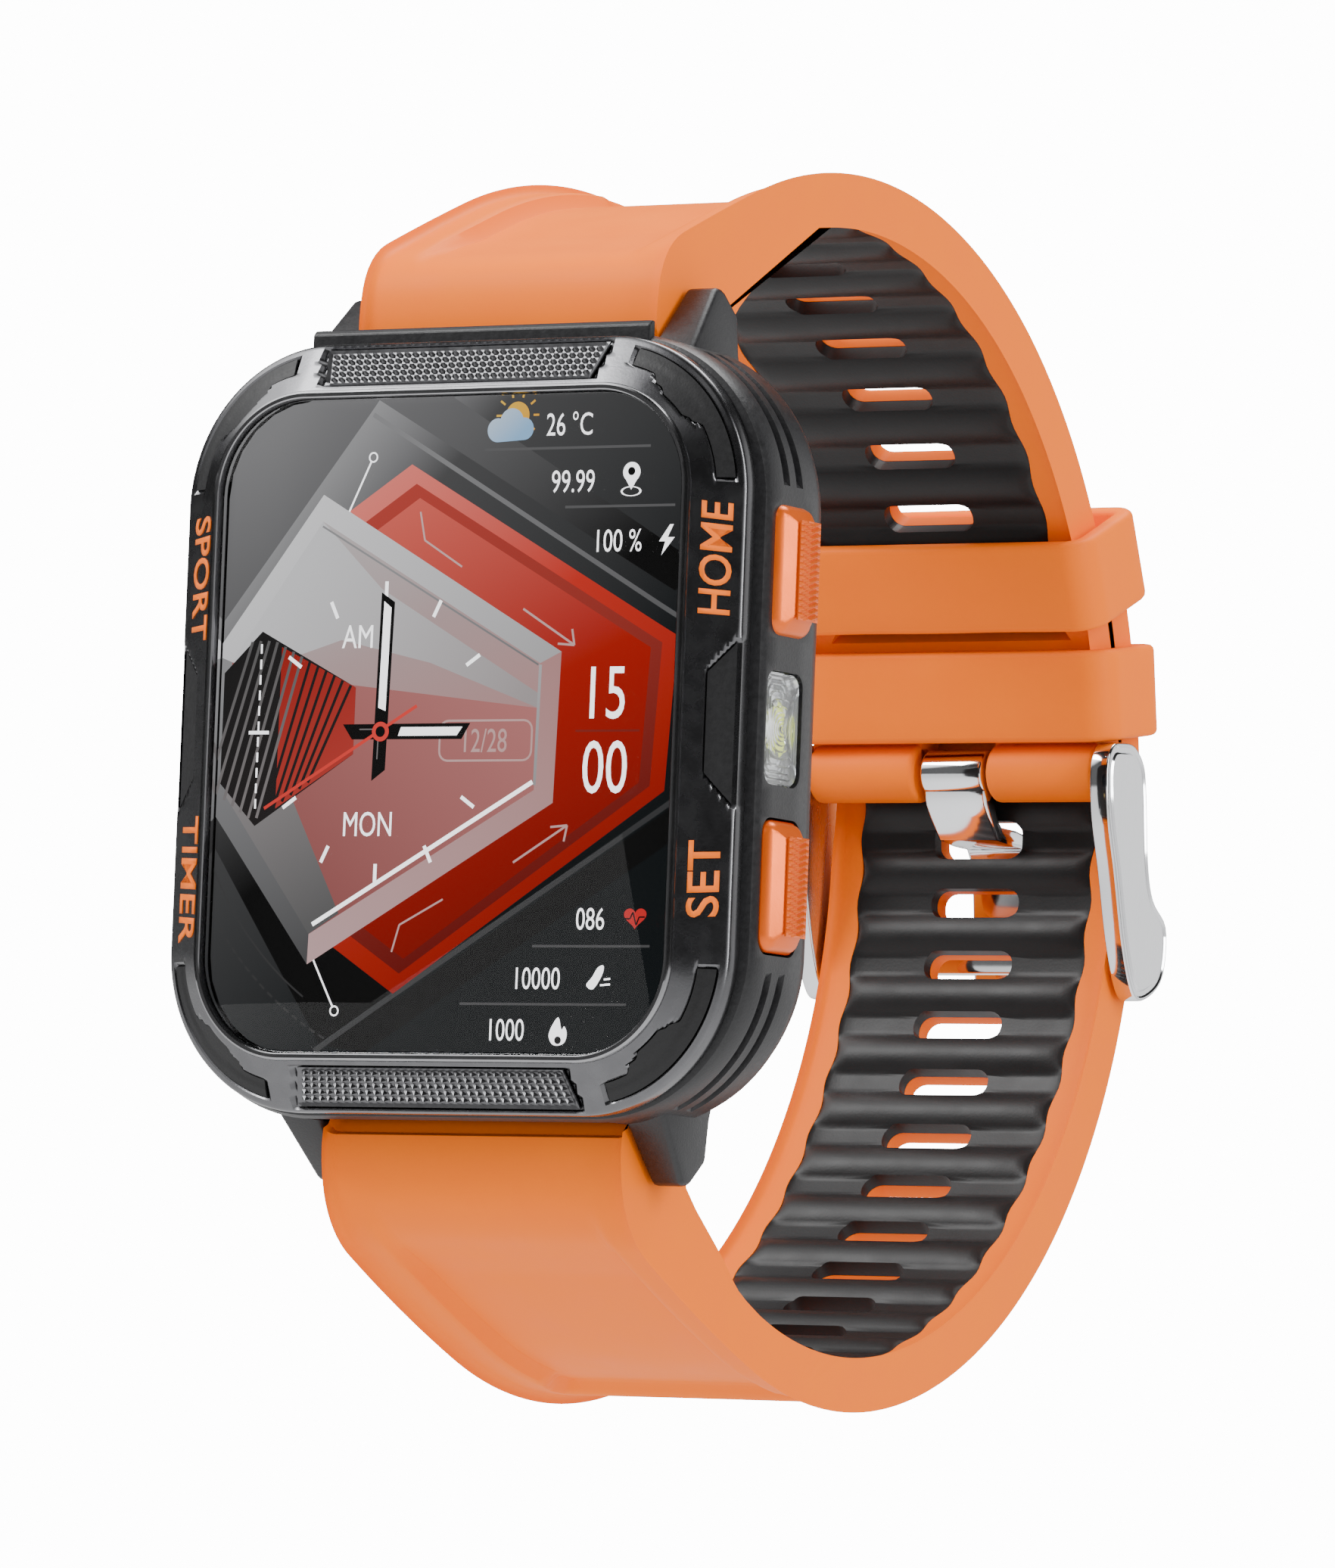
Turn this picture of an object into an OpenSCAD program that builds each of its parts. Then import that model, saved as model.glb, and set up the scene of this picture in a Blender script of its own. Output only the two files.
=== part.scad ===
// Running watch: square sports case on a fastened two-piece silicone strap.
// Frame: +Z is 12 o'clock, the dial faces -Y, the origin is the centre of the wrist opening.
// Depths (d) are counted from the glass front, away from the dial.

/* [Case] */
// Case width across the 3 and 9 o'clock walls
case_w = 42.6; // [36:0.1:54]
// Case height over the 12 and 6 o'clock walls, without the lugs
case_h = 49.2; // [42:0.1:62]
// Corner radius of the case
case_r = 10.8; // [6:0.1:14]
// Depth of the case back edge behind the glass front
case_d = 12.6; // [10.8:0.1:18]
// Side wall thickness
wall = 2.0; // [1.4:0.1:3]
// Depth of the front plate face, where the bezel seats
seat_d = 2.7; // [2.2:0.1:4]
// Width of the grooves round the corners
groove_w = 0.7; // [0.3:0.1:1.2]

/* [Bezel and display] */
// Window width
window_w = 33.5; // [28:0.1:42]
// Window height
window_h = 40.8; // [32:0.1:50]
// Window corner radius
window_r = 6.0; // [3:0.1:9]
// How far the bezel stands inside the side walls
bezel_inset = 0.8; // [0.4:0.1:2]
// How far the bezel stands inside the top and bottom walls
bezel_inset_z = 0.3; // [0.2:0.1:2]
// Height of the bezel crest over the glass
crest = 0.5; // [0.2:0.1:1.2]
// Glass thickness
glass_t = 1.1; // [0.6:0.1:2]
// Depth of the inlay pockets in the bezel
inlay_t = 0.4; // [0.2:0.05:0.8]

/* [Lugs and bars] */
// Strap width
strap_w = 22; // [18:0.5:26]
// Clearance between strap and lug, each side
lug_gap = 0.25; // [0.1:0.05:0.5]
// Lug thickness at the tip
lug_t = 2.1; // [1.6:0.1:4]
// Depth of the strap bars behind the glass
bar_d = 8.8; // [7.5:0.1:11]
// Distance of the strap bars beyond the case wall
bar_out = 1.4; // [0.4:0.1:2.4]
// Radius of the strap bars
bar_r = 0.75; // [0.5:0.05:1]
// Running clearance of a bore on its bar
run = 0.05; // [0.02:0.01:0.1]

/* [Strap] */
// Strap thickness
strap_t = 2.3; // [1.8:0.1:3.2]
// Thickness of the strap tail
tail_t = 1.7; // [1.2:0.1:2.4]
// Width of the liner
liner_w = 18.4; // [14:0.1:22]
// Thickness of the liner under its grooves
liner_t = 0.9; // [0.5:0.1:1.4]
// Height of the liner ribs over the grooves
rib_h = 0.55; // [0.2:0.05:1]
// Pitch of the slots and ribs along the upper strap
up_pitch = 5.15; // [4:0.05:6]
// Pitch of the slots and ribs along the lower strap
lo_pitch = 4.6; // [4:0.05:6]
// Slot length across the strap
slot_w = 6.8; // [4:0.1:8]
// Slot height along the strap
slot_h = 2.0; // [1.4:0.1:2.6]
// Height of the raised panel near the lugs
panel_t = 1.0; // [0.3:0.1:1.4]
// Width of the raised panel
panel_w = 17.0; // [12:0.1:20]

/* [Buckle and keepers] */
// Radius of the strap barrel on the buckle bar
barrel_r = 2.0; // [1.6:0.1:2.6]
// Radius of the buckle bar
pin_r = 0.6; // [0.4:0.05:0.9]
// Thickness of the buckle side plates
plate_t = 1.4; // [1:0.1:2.4]
// Clearance between strap edge and buckle or keeper
side_gap = 0.35; // [0.2:0.05:0.6]
// Prong width
prong_w = 4.8; // [3:0.1:5.6]
// Keeper wall thickness
keeper_t = 1.3; // [1:0.1:2]
// Keeper length along the strap
keeper_l = 6.2; // [4:0.1:8]
// Room in a keeper beside the two strap ends
keeper_room = 1.5; // [1:0.1:2.5]

/* [Buttons and lamp] */
// Button length along the case
button_l = 8.2; // [6:0.1:10]
// Button width across the case
button_w = 4.4; // [3:0.1:5.5]
// Button centre height above and below the lamp
button_z = 9.8; // [8.5:0.1:13]
// How far the buttons stand out of the wall
button_out = 1.5; // [0.9:0.1:2]
// Press travel
travel = 0.6; // [0.3:0.1:0.8]
// Lamp lens length along the case
lens_l = 7.0; // [5:0.1:8]
// Lamp lens width
lens_w = 4.3; // [3:0.1:5]

/* [Internals] */
// Battery width
batt_w = 26; // [18:0.5:30]
// Battery height
batt_h = 28; // [20:0.5:28]
// Battery thickness
batt_t = 4.0; // [2.5:0.1:4.6]
// Main board thickness
board_t = 0.8; // [0.6:0.1:1.2]
// Radius of the raised sensor plateau
plateau_r = 13; // [10:0.1:15]
// Height of the sensor plateau
plateau_t = 0.9; // [0.5:0.1:1.4]

/* [Hidden] */
$fn = 48;
face_y = -39;                       // glass front in the row frame
bezel_w = case_w - 2*bezel_inset;
bezel_h = case_h - 2*bezel_inset_z;
bezel_r = case_r - 0.6;
bar_z = case_h/2 + bar_out;
half_s = strap_w/2;
lug_in = half_s + lug_gap;
lug_out = lug_in + lug_t;
plate_d = 1.2;                      // thickness of the front plate
cav_d0 = seat_d + plate_d;          // cavity starts
cover_d = case_d - 1.2;             // back cover seat
cav_w = case_w - 2*wall;
cav_h = case_h - 7.4;
btn_d = 6.0;                        // depth of the button and lamp centres
frame_d = cav_d0 + 0.1;
board_d = frame_d + 0.8;
batt_d = board_d + board_t + 0.9;
head_r = 2.3;                       // strap head round its bar
groove_z = button_z + button_l/2 + 1.4; // the corner grooves stay clear of the buttons

// the strap's outer line: start, heading, then [length, turn] arcs
ref_bar = 26;                       // bar height the arcs were drawn for; the loop stretches with the bars
loop_k = bar_z/ref_bar;
up_start = [6.5, ref_bar - 0.6];
up_arcs = [[2.8, -12], [3.9, -56], [9.9, -2], [12.8, -19], [28.3, -45], [29.3, -43]];
lo_start = [6.1, -ref_bar + 0.6];
lo_arcs = [[2.6, 12], [5.6, 52], [14.4, 6], [18.1, 31], [26.6, 41], [29.1, 42], [22, 27.4]];
up_head = 92;
lo_head = -92;

// position, heading and travelled length along a chain of arcs
steps = 7;
function arc_pts(p, h, l, t, i = 0) =
    i >= steps ? [] :
    let (a = h + t/steps/2, q = p + l/steps*[cos(a), sin(a)])
    concat([[q[0], q[1], h + t/steps]], arc_pts(q, h + t/steps, l, t, i + 1));
function chain(p, h, arcs, k = 0) =
    k >= len(arcs) ? [] :
    let (a = arc_pts(p, h, arcs[k][0], arcs[k][1]), e = a[steps - 1])
    concat(a, chain([e[0], e[1]], e[2], arcs, k + 1));
function stretched(line) = [for (q = line) [q[0], q[1]*loop_k, q[2]]];
up_line = stretched(concat([[up_start[0], up_start[1], up_head]], chain(up_start, up_head, up_arcs)));
lo_line = stretched(concat([[lo_start[0], lo_start[1], lo_head]], chain(lo_start, lo_head, lo_arcs)));
// a point moved inward (side +1 on the upper strap, -1 on the lower) by t
function inward(q, t, side) = [q[0] + side*t*sin(q[2]), q[1] - side*t*cos(q[2])];
function off(line, a, b, t, side) = [for (i = [a:b]) inward(line[i], t, side)];
function rev(v) = [for (i = [len(v)-1:-1:0]) v[i]];
// travelled length at each point
function walk(arcs, i) = i == 0 ? 0 :
    let (k = floor((i - 1)/steps), r = (i - 1)%steps + 1)
    (k == 0 ? 0 : walk(arcs, k*steps)) + arcs[k][0]*r/steps;
// point of a line at a travelled length
function at(line, arcs, s, i = 1) =
    (i >= len(line) - 1 || walk(arcs, i) >= s) ?
        let (s0 = walk(arcs, i - 1), s1 = walk(arcs, i), f = (s - s0)/(s1 - s0))
        line[i-1] + f*(line[i] - line[i-1])
    : at(line, arcs, s, i + 1);

up_end = up_line[len(up_line) - 1];
pin = inward(up_end, barrel_r + 0.04, 1);     // buckle bar centre [d, z]

up_slots = [for (i = [0:7]) 31.9 + i*up_pitch];
// travelled length at which the tail passes a height
function s_at_z(line, arcs, z, i) = i >= len(line) - 1 || line[i][1] >= z ?
    walk(arcs, i - 1) + (z - line[i-1][1])/(line[i][1] - line[i-1][1])*(walk(arcs, i) - walk(arcs, i - 1)) : s_at_z(line, arcs, z, i + 1);
prong_s = s_at_z(lo_line, lo_arcs, pin[1] - 4.29, 4*steps);
// the slots are counted back from the one that holds the prong
lo_first = prong_s - 13*lo_pitch;
lo_slots = [for (i = [0:12]) lo_first + i*lo_pitch];

module slab(d0, d1) translate([0, face_y + d1, 0]) rotate([90, 0, 0]) linear_extrude(d1 - d0) children();
module rrect(w, h, r) {
    square([w, h - 2*r], center = true);
    square([w - 2*r, h], center = true);
    for (x = [-1, 1], z = [-1, 1]) translate([x*(w/2 - r), z*(h/2 - r)]) circle(r);
}
// side profile [d, z] extruded along X between x0 and x1
module side(x0, x1) translate([x0, face_y, 0]) rotate([90, 0, 90]) linear_extrude(x1 - x0) children();
module xcyl(r, x0, x1, d, z) translate([x0, face_y + d, z]) rotate([0, 90, 0]) cylinder(r = r, h = x1 - x0);
module dcyl(r, d0, d1, x, z) slab(d0, d1) translate([x, z]) circle(r);
// solid or ring lofted through rounded rectangles [w, h, r, d]
rk = 8;
function loop(q) = [for (c = [0:3], i = [0:rk])
    let (a = 90*c + 90*i/rk, sx = (c == 0 || c == 3) ? 1 : -1, sz = c < 2 ? 1 : -1)
    [sx*(q[0]/2 - q[2]) + q[2]*cos(a), face_y + q[3], sz*(q[1]/2 - q[2]) + q[2]*sin(a)]];
module loft(loops, ring = false) {
    n = 4*(rk + 1);
    m = len(loops);
    last = ring ? m - 1 : m - 2;
    polyhedron(
        points = [for (q = loops) each loop(q)],
        faces = concat(
            [for (j = [0:last], i = [0:n-1], t = [0, 1])
                let (a = j*n + i, b = j*n + (i + 1)%n, c = ((j + 1)%m)*n + (i + 1)%n, e = ((j + 1)%m)*n + i)
                t == 0 ? [a, b, c] : [a, c, e]],
            ring ? [] : [[for (i = [n-1:-1:0]) i], [for (i = [0:n-1]) (m - 1)*n + i]]));
}
module button_cut(z, grow) // outline across the side wall, in [d, z]
    translate([btn_d, z]) rrect(button_w + 2*grow, button_l + 2*grow, 1.0);

// ---------------------------------------------------------------- case
module pocket() // room for the strap head between the lugs, swept through its swing
    side(-lug_in, lug_in) polygon([for (q = [[-5.4, 1], [-5.4, -1.3], [-5.1, -1.9], [-4.4, -2.4],
        [-3.6, -2.7], [-2.6, -2.95], [7, -2.95], [7, 8], [-5.4, 8]]) [bar_d + q[0], bar_z + q[1]]]);
module lug_profile() polygon([for (q = [[-4.4, -3.6], [-4.2, -2.4], [0.2, 2.2], [1.0, 2.2], [2.6, 0.6], [2.1, -2], [2.0, -3.6]])
    [bar_d + q[0], bar_z + q[1]]]);
module lug() // upper right lug
    difference() {
        intersection() {
            side(lug_in, lug_out + 3) lug_profile();
            slab(0, case_d + 4) polygon([[lug_in, bar_z - 4], [lug_out + 1.3, bar_z - 4], [lug_out + 0.8, bar_z - 1.8],
                [lug_out, bar_z + 2.6], [lug_in, bar_z + 2.6]]);
        }
        xcyl(bar_r*0.55, lug_in - 1, lug_in + 1.4, bar_d, bar_z);
    }
module shoulder() // bar across the front between the upper lugs
    side(-lug_in - 1.2, lug_in + 1.2) polygon([[seat_d, case_h/2 - 3], [seat_d, bar_z - 0.9], [seat_d + 0.3, bar_z - 0.6],
        [bar_d, bar_z - 0.6], [bar_d + 1.5, bar_z - 2.6], [bar_d + 1.5, case_h/2 - 3]]);
module mirror_z() { children(); mirror([0, 0, 1]) children(); }
module mirror_x() { children(); mirror([1, 0, 0]) children(); }

module mid_case() color("#26272a") {
    difference() {
        union() {
            loft([[case_w - 0.9, case_h - 0.9, case_r - 0.45, seat_d], [case_w, case_h, case_r, seat_d + 0.7],
                [case_w, case_h, case_r, case_d - 3.6], [case_w - 2.2, case_h - 2.2, case_r - 1.1, case_d - 1.1],
                [case_w - 3.4, case_h - 3.4, case_r - 1.7, case_d]]);
            mirror_z() mirror_x() lug();
            shoulder();
        }
        mirror_z() pocket();
        // front opening, cavity and back seat
        slab(seat_d - 1, cav_d0 + 1) rrect(window_w - 2.1, window_h - 2.1, window_r - 1);
        slab(cav_d0, cover_d - 0.9) rrect(cav_w, cav_h, 5);
        slab(cover_d - 1.2, cover_d + 3) rrect(case_w - 7.6, cav_h - 1.8, 5);
        slab(cover_d, cover_d + 3) rrect(case_w - 5.6, cav_h + 0.4, 6);
        // corner grooves
        for (d = [btn_d - 1.1, btn_d + 0.5]) slab(d, d + groove_w) difference() {
            square([case_w + 4, case_h + 4], center = true);
            rrect(case_w - 0.9, case_h - 0.9, case_r - 0.45);
            square([case_w + 6, 2*groove_z], center = true);
            square([2*(lug_out + 2.4), case_h + 6], center = true);
        }
        // button pockets, stem holes and lamp window on the 3 o'clock wall
        for (z = [-button_z, button_z]) {
            side(case_w/2 - 1.0, case_w/2 + 2) button_cut(z, 0.15);
            xcyl(1.05, case_w/2 - wall - 1, case_w/2, btn_d, z);
        }
        side(case_w/2 - wall - 0.4, case_w/2 + 2) translate([btn_d - 0.2, 0]) rrect(lens_w + 0.1, lens_l + 0.1, 0.9);
        // speaker and microphone ports on the 9 o'clock wall
        for (z = [-8, -6.4, -4.8]) xcyl(0.4, -case_w/2 - 1, -case_w/2 + wall + 1, btn_d + 0.6, z);
        xcyl(0.35, -case_w/2 - 1, -case_w/2 + wall + 1, btn_d + 0.6, 8);
        mirror_z() mirror_x() dcyl(0.7, cover_d - 3.2, cover_d, case_w/2 - 5.4, cav_h/2 - 2.6);
    }
    // screw bosses are part of the cavity floor
}

// ---------------------------------------------------------------- bezel
crest_in = 0.5;                     // from window to crest
crest_out = 1.5;                    // from window to the facet's top
facet_d0 = -crest + 0.2;
facet_d1 = seat_d - 1.5;
function grown(g, d) = [window_w + 2*g, window_h + 2*g, window_r + g, d];
module facet_band(i, o, a, b) { // a layer of the sloping facet, i and o are shares of its width
    w0 = window_w + 2*crest_out; h0 = window_h + 2*crest_out; r0 = window_r + crest_out;
    function mixq(f, t) = [w0 + f*(bezel_w - w0), h0 + f*(bezel_h - h0), r0 + f*(bezel_r - r0), facet_d0 + f*(facet_d1 - facet_d0) + t];
    loft([mixq(i, a), mixq(o, a), mixq(o, b), mixq(i, b)], ring = true);
}
module corner_zone(g = 0) // stepped outline of a corner inlay, upper right, in [x, z]
    polygon([[bezel_w/2 - 9.2 + g, bezel_h/2 + 2], [bezel_w/2 - 9.2 + g, bezel_h/2 - 5], [bezel_w/2 - 2.2, bezel_h/2 - 9.4 + g], [bezel_w/2 + 2, bezel_h/2 - 9.4 + g], [bezel_w/2 + 2, bezel_h/2 + 2]]);
module corner_zones(g = 0) slab(-3, 5) for (x = [0, 1], z = [0, 1]) mirror([x, 0]) mirror([0, z]) corner_zone(g);
module side_zones(g = 0) slab(-3, 5) for (x = [0, 1]) mirror([x, 0])
    polygon([[bezel_w/2 + 1, -5.4 + g], [bezel_w/2 - 1.9 + g, -2.6 + g/2], [bezel_w/2 - 1.9 + g, 2.6 - g/2], [bezel_w/2 + 1, 5.4 - g]]);
grip_w = 21; grip_x = -1.2;
module grip_zones(g, top) slab(-3, 5) mirror([0, top ? 0 : 1])
    polygon([for (q = [[-grip_w/2 + g, bezel_h/2 + 2], [-grip_w/2 + g, bezel_h/2 - 0.5], [-grip_w/2 + 1.6 + g, bezel_h/2 - 3 + g], [grip_w/2 - 1.6 - g, bezel_h/2 - 3 + g], [grip_w/2 - g, bezel_h/2 - 0.5], [grip_w/2 - g, bezel_h/2 + 2]]) [q[0], q[1]]]);
module bezel() color("#3a3b3f") difference() {
    loft([grown(0, seat_d), grown(0, -crest*0.4), grown(crest_in, -crest), grown(crest_out, facet_d0),
        [bezel_w, bezel_h, bezel_r, facet_d1], [bezel_w, bezel_h, bezel_r, seat_d]], ring = true);
    intersection() { facet_band(0.3, 0.82, -1.2, inlay_t); corner_zones(); }
    intersection() { facet_band(0.3, 1.3, -1.2, inlay_t); side_zones(); }
    for (t = [true, false]) intersection() { facet_band(0.12, 0.9, -1.2, inlay_t); grip_zones(0, t); }
}
module corner_inlays() color("#1d1e20") intersection() { facet_band(0.32, 0.8, 0.1, inlay_t); corner_zones(0.05); }
module side_inlays() color("#1d1e20") intersection() { facet_band(0.32, 0.97, 0.12, inlay_t); side_zones(0.05); }
module knurl(top) // rows of low pyramids standing on the insert
    for (r = [0:3], c = [0:18]) {
        z = bezel_h/2 - 1.77 + 0.444*r;
        f = (z - 0.15 - window_h/2 - crest_out)/(bezel_h/2 - window_h/2 - crest_out);
        d = facet_d0 + f*(facet_d1 - facet_d0);
        w = grip_w - 3.6 - 0.5*(3 - r);
        translate([-w/2 + w*c/18, face_y + d + 0.24, top ? z : -z]) rotate([90, 45, 0]) cylinder(r1 = 0.42, r2 = 0.08, h = 0.34, $fn = 4);
    }
module grip(top) { intersection() { facet_band(0.14, 0.88, 0.16, inlay_t); grip_zones(0.05, top); } knurl(top); }
module grip_insert_top() color("#4a4b4e") grip(true);
module grip_insert_bottom() color("#4a4b4e") grip(false);

// ---------------------------------------------------------------- display stack
module front_glass() color("#0c0e12", 0.6) slab(0, glass_t) rrect(window_w - 0.06, window_h - 0.06, window_r - 0.03);
module glass_gasket() color("#111214") slab(glass_t, seat_d) difference() {
    rrect(window_w - 0.1, window_h - 0.1, window_r - 0.05);
    rrect(window_w - 1.9, window_h - 1.9, window_r - 0.95);
}
module display_panel() color("#15181d") {
    slab(glass_t, seat_d - 0.1) rrect(window_w - 2.1, window_h - 2.1, window_r - 1.1);
    slab(seat_d - 0.1, seat_d + 0.5) rrect(window_w - 6, window_h - 8, 2);
}
module display_flex() color("#b8742c") slab(seat_d + 0.5, frame_d) translate([0, -10]) rrect(12, 9, 0.6);
module inner_frame() color("#55585e") slab(frame_d, board_d) difference() {
    rrect(cav_w - 0.4, cav_h - 0.4, 4.8);
    translate([0, 3]) rrect(20, 14, 2);
    for (x = [-12, 12], z = [-14, 14]) translate([x, z]) circle(1.2);
    // room for the switches, the button clips and the lamp
    translate([cav_w/2, 0]) square([2*(wall + 1.4), 2*button_z + 5.6], center = true);
}
module main_board() color("#1f5b34") {
    slab(board_d, board_d + board_t) difference() {
        rrect(cav_w - 5, cav_h - 3, 3);
        for (x = [-14, 14], z = [-17, 17]) translate([x, z]) circle(0.9);
    }
    slab(board_d + board_t, board_d + board_t + 0.7) {
        translate([-6, 6]) square([8, 8], center = true);
        translate([5, 7]) square([6, 5], center = true);
        translate([3, -5]) square([5, 5], center = true);
        translate([-8, -6]) square([4, 5], center = true);
    }
}
module battery() color("#c9ccd1") slab(batt_d, batt_d + batt_t) rrect(batt_w, batt_h, 1.5);
module gps_antenna() color("#d9d2bd") slab(board_d + board_t, board_d + board_t + 2) translate([0, batt_h/2 + 3.2]) square([9, 4.6], center = true);
module vibration_motor() color("#9da1a8") dcyl(2.8, board_d + board_t, board_d + board_t + 2.6, -9, -batt_h/2 - 3.1);
module speaker() color("#2c2e33") slab(board_d + board_t, board_d + board_t + 3) translate([2, -batt_h/2 - 3]) rrect(11, 5, 1);
module microphone() color("#8f9399") slab(board_d + board_t, board_d + board_t + 1) translate([-9, batt_h/2 + 3]) square([3, 2], center = true);
module side_switches() color("#b8742c") {
    side(case_w/2 - wall - 2.3, case_w/2 - wall - 2.0) translate([btn_d, 0]) difference() {
        square([3.4, 2*button_z + 4], center = true);
        square([5, 2*button_z - 5], center = true);
    }
    for (z = [-button_z, button_z]) xcyl(1.2, case_w/2 - wall - 2.0, case_w/2 - wall - 0.9 - travel, btn_d, z);
}

// ---------------------------------------------------------------- buttons and lamp
clip_x = case_w/2 - wall - 0.45;
module button(z) {
    intersection() {
        side(case_w/2 - 1 + travel + 0.1, case_w/2 + button_out) button_cut(z, 0);
        // chamfered crown
        union() {
            side(case_w/2 - 2, case_w/2 + button_out*0.45) button_cut(z, 0.2);
            translate([case_w/2 + button_out*0.45, face_y + btn_d, z]) rotate([90, 0, 90])
                linear_extrude(button_out*0.55, scale = [0.62, 0.8]) square([button_w, button_l], center = true);
        }
    }
    // stem and retaining clip
    xcyl(1.0, clip_x - 0.4, case_w/2 - 1 + travel + 0.1, btn_d, z);
    xcyl(1.6, clip_x - 0.4, clip_x, btn_d, z);
}
module upper_button() color("#e2581c") button(button_z);
module lower_button() color("#e2581c") button(-button_z);
lens_x = case_w/2 - 0.06;
module led_lens() color("#dfe3e6", 0.6) side(lens_x - 0.9, lens_x) translate([btn_d - 0.2, 0]) rrect(lens_w, lens_l, 0.85);
module led_reflector() color("#e6e8ea") difference() {
    side(case_w/2 - wall - 0.3, lens_x - 0.9) translate([btn_d - 0.2, 0]) rrect(lens_w, lens_l, 0.85);
    translate([case_w/2 - wall - 0.31, face_y + btn_d - 0.2, 0]) rotate([0, 90, 0]) cylinder(r1 = 1.15, r2 = 1.9, h = wall - 0.64);
}
module led_board() color("#2b6b3c") {
    side(case_w/2 - wall - 0.8, case_w/2 - wall - 0.3) translate([btn_d - 0.2, 0]) square([lens_w - 0.6, lens_l - 0.6], center = true);
}
module led_chip() color("#d9e021") side(case_w/2 - wall - 0.3, case_w/2 - wall + 0.35) translate([btn_d - 0.2, 0]) square([1.5, 1.5], center = true);

// ---------------------------------------------------------------- back
module back_cover() color("#2b2c2f") difference() {
    union() {
        slab(cover_d + 0.2, case_d + 0.1) rrect(case_w - 5.7, cav_h + 0.3, 5.95);
        slab(case_d + 0.1, case_d + plateau_t) circle(plateau_r);
    }
    dcyl(6.6, case_d + plateau_t - 0.6, case_d + 4, 0, 0);
    dcyl(5.4, cover_d - 1, case_d + 4, 0, 0);
    for (x = [-2.4, 2.4]) dcyl(0.9, cover_d - 1, case_d + 4, x, -9.6);
    mirror_z() mirror_x() {
        dcyl(0.75, cover_d - 1, case_d + 4, case_w/2 - 5.4, cav_h/2 - 2.6);
        dcyl(1.35, case_d - 0.5, case_d + 4, case_w/2 - 5.4, cav_h/2 - 2.6);
    }
}
module back_gasket() color("#7a2f2f") slab(cover_d, cover_d + 0.2) difference() {
    rrect(case_w - 5.8, cav_h + 0.2, 5.9);
    rrect(case_w - 7.5, cav_h - 1.7, 5);
    for (x = [-1, 1], z = [-1, 1]) translate([x*(case_w/2 - 5.4), z*(cav_h/2 - 2.6)]) circle(0.75);
}
module back_screws() color("#b9bcc2") mirror_z() mirror_x() {
    difference() {
        dcyl(1.3, case_d - 0.5, case_d, case_w/2 - 5.4, cav_h/2 - 2.6);
        dcyl(0.5, case_d - 0.25, case_d + 1, case_w/2 - 5.4, cav_h/2 - 2.6);
    }
    dcyl(0.65, cover_d - 2.6, case_d - 0.5, case_w/2 - 5.4, cav_h/2 - 2.6);
}
module sensor_window() color("#0d0f12", 0.7) dcyl(6.55, case_d + plateau_t - 0.6, case_d + plateau_t, 0, 0);
module sensor_board() color("#1f5b34") {
    dcyl(5.3, cover_d + 0.1, cover_d + 0.7, 0, 0);
    for (a = [0:90:270]) slab(cover_d + 0.7, cover_d + 1.2) rotate(a) translate([3, 0]) square([1.4, 1.4], center = true);
    slab(cover_d + 0.7, cover_d + 1.3) square([2, 2], center = true);
}
module charge_contacts() color("#d8b45a") for (x = [-2.4, 2.4]) dcyl(0.85, cover_d + 0.1, case_d + plateau_t, x, -9.6);

// ---------------------------------------------------------------- strap
module bar(z) {
    xcyl(bar_r, -half_s + 0.2, half_s - 0.2, bar_d, z);
    xcyl(bar_r*0.55, -lug_in - 1.3, lug_in + 1.3, bar_d, z);
}
module spring_bar_top() color("#a9adb3") bar(bar_z);
module spring_bar_bottom() color("#a9adb3") bar(-bar_z);

// head outline behind the outer line, from the back face round the barrel
up_back = [[14.0, 7.1], [9.3, 4.3], [6.1, 1.5], [6.3, -0.4], [3.2, -1.9]];
lo_back = [[11.6, 8.8], [9.3, 6.7], [4.4, 2.5], [4.2, -0.2], [3.0, -1.9]];
function head(side) = [for (q = concat(side > 0 ? up_back : lo_back,
    [for (a = [-55:-25:-160]) [head_r*cos(a), head_r*sin(a)]])) [bar_d + q[0], side*(bar_z + q[1])]];
function head_i(side) = side > 0 ? 3*steps + 4 : 3*steps; // plain thickness from here on
function thick(i, n, side) = (side < 0 && i > n - 1.2*steps) ? tail_t : strap_t;
function section(line, side) = let (n = len(line) - 1)
    concat([for (q = line) [q[0], q[1]]],
        [for (i = [n:-1:head_i(side)]) inward(line[i], thick(i, n, side), side)], head(side));
// inner face of the liner: ribs between flat grooves
function rib(u) = let (f = u - floor(u)) f < 0.16 || f > 0.84 ? 0 : sin(180*(f - 0.16)/0.68);
function liner_pts(line, arcs, side, s0, s1, first, pitch) = [for (s = [s0:pitch/8:s1])
    let (q = at(line, arcs, s)) inward(q, strap_t - 0.25 + rib_h*rib((s - first)/pitch), side)];
module liner_shape(line, arcs, side, s0, s1, first, pitch)
    polygon(concat(liner_pts(line, arcs, side, s0, s1, first, pitch),
        rev([for (s = [s0:1.2:s1]) inward(at(line, arcs, s), strap_t - liner_t - 0.22, side)])));
module channel_shape(line, arcs, side, s0, s1)
    polygon(concat([for (s = [s0:1.2:s1]) inward(at(line, arcs, s), strap_t + 1.2, side)],
        rev([for (s = [s0:1.2:s1]) inward(at(line, arcs, s), strap_t - liner_t - 0.25, side)])));
module panel_shape(line, arcs, side, s0, s1)
    polygon(concat([for (s = [s0:1.5:s1]) inward(at(line, arcs, s), 0.2, side)],
        rev([for (s = [s0:1.5:s1]) inward(at(line, arcs, s), -panel_t*min(1, (s - s0)/12, (s1 - s)/2 + 0.5), side)])));
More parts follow.
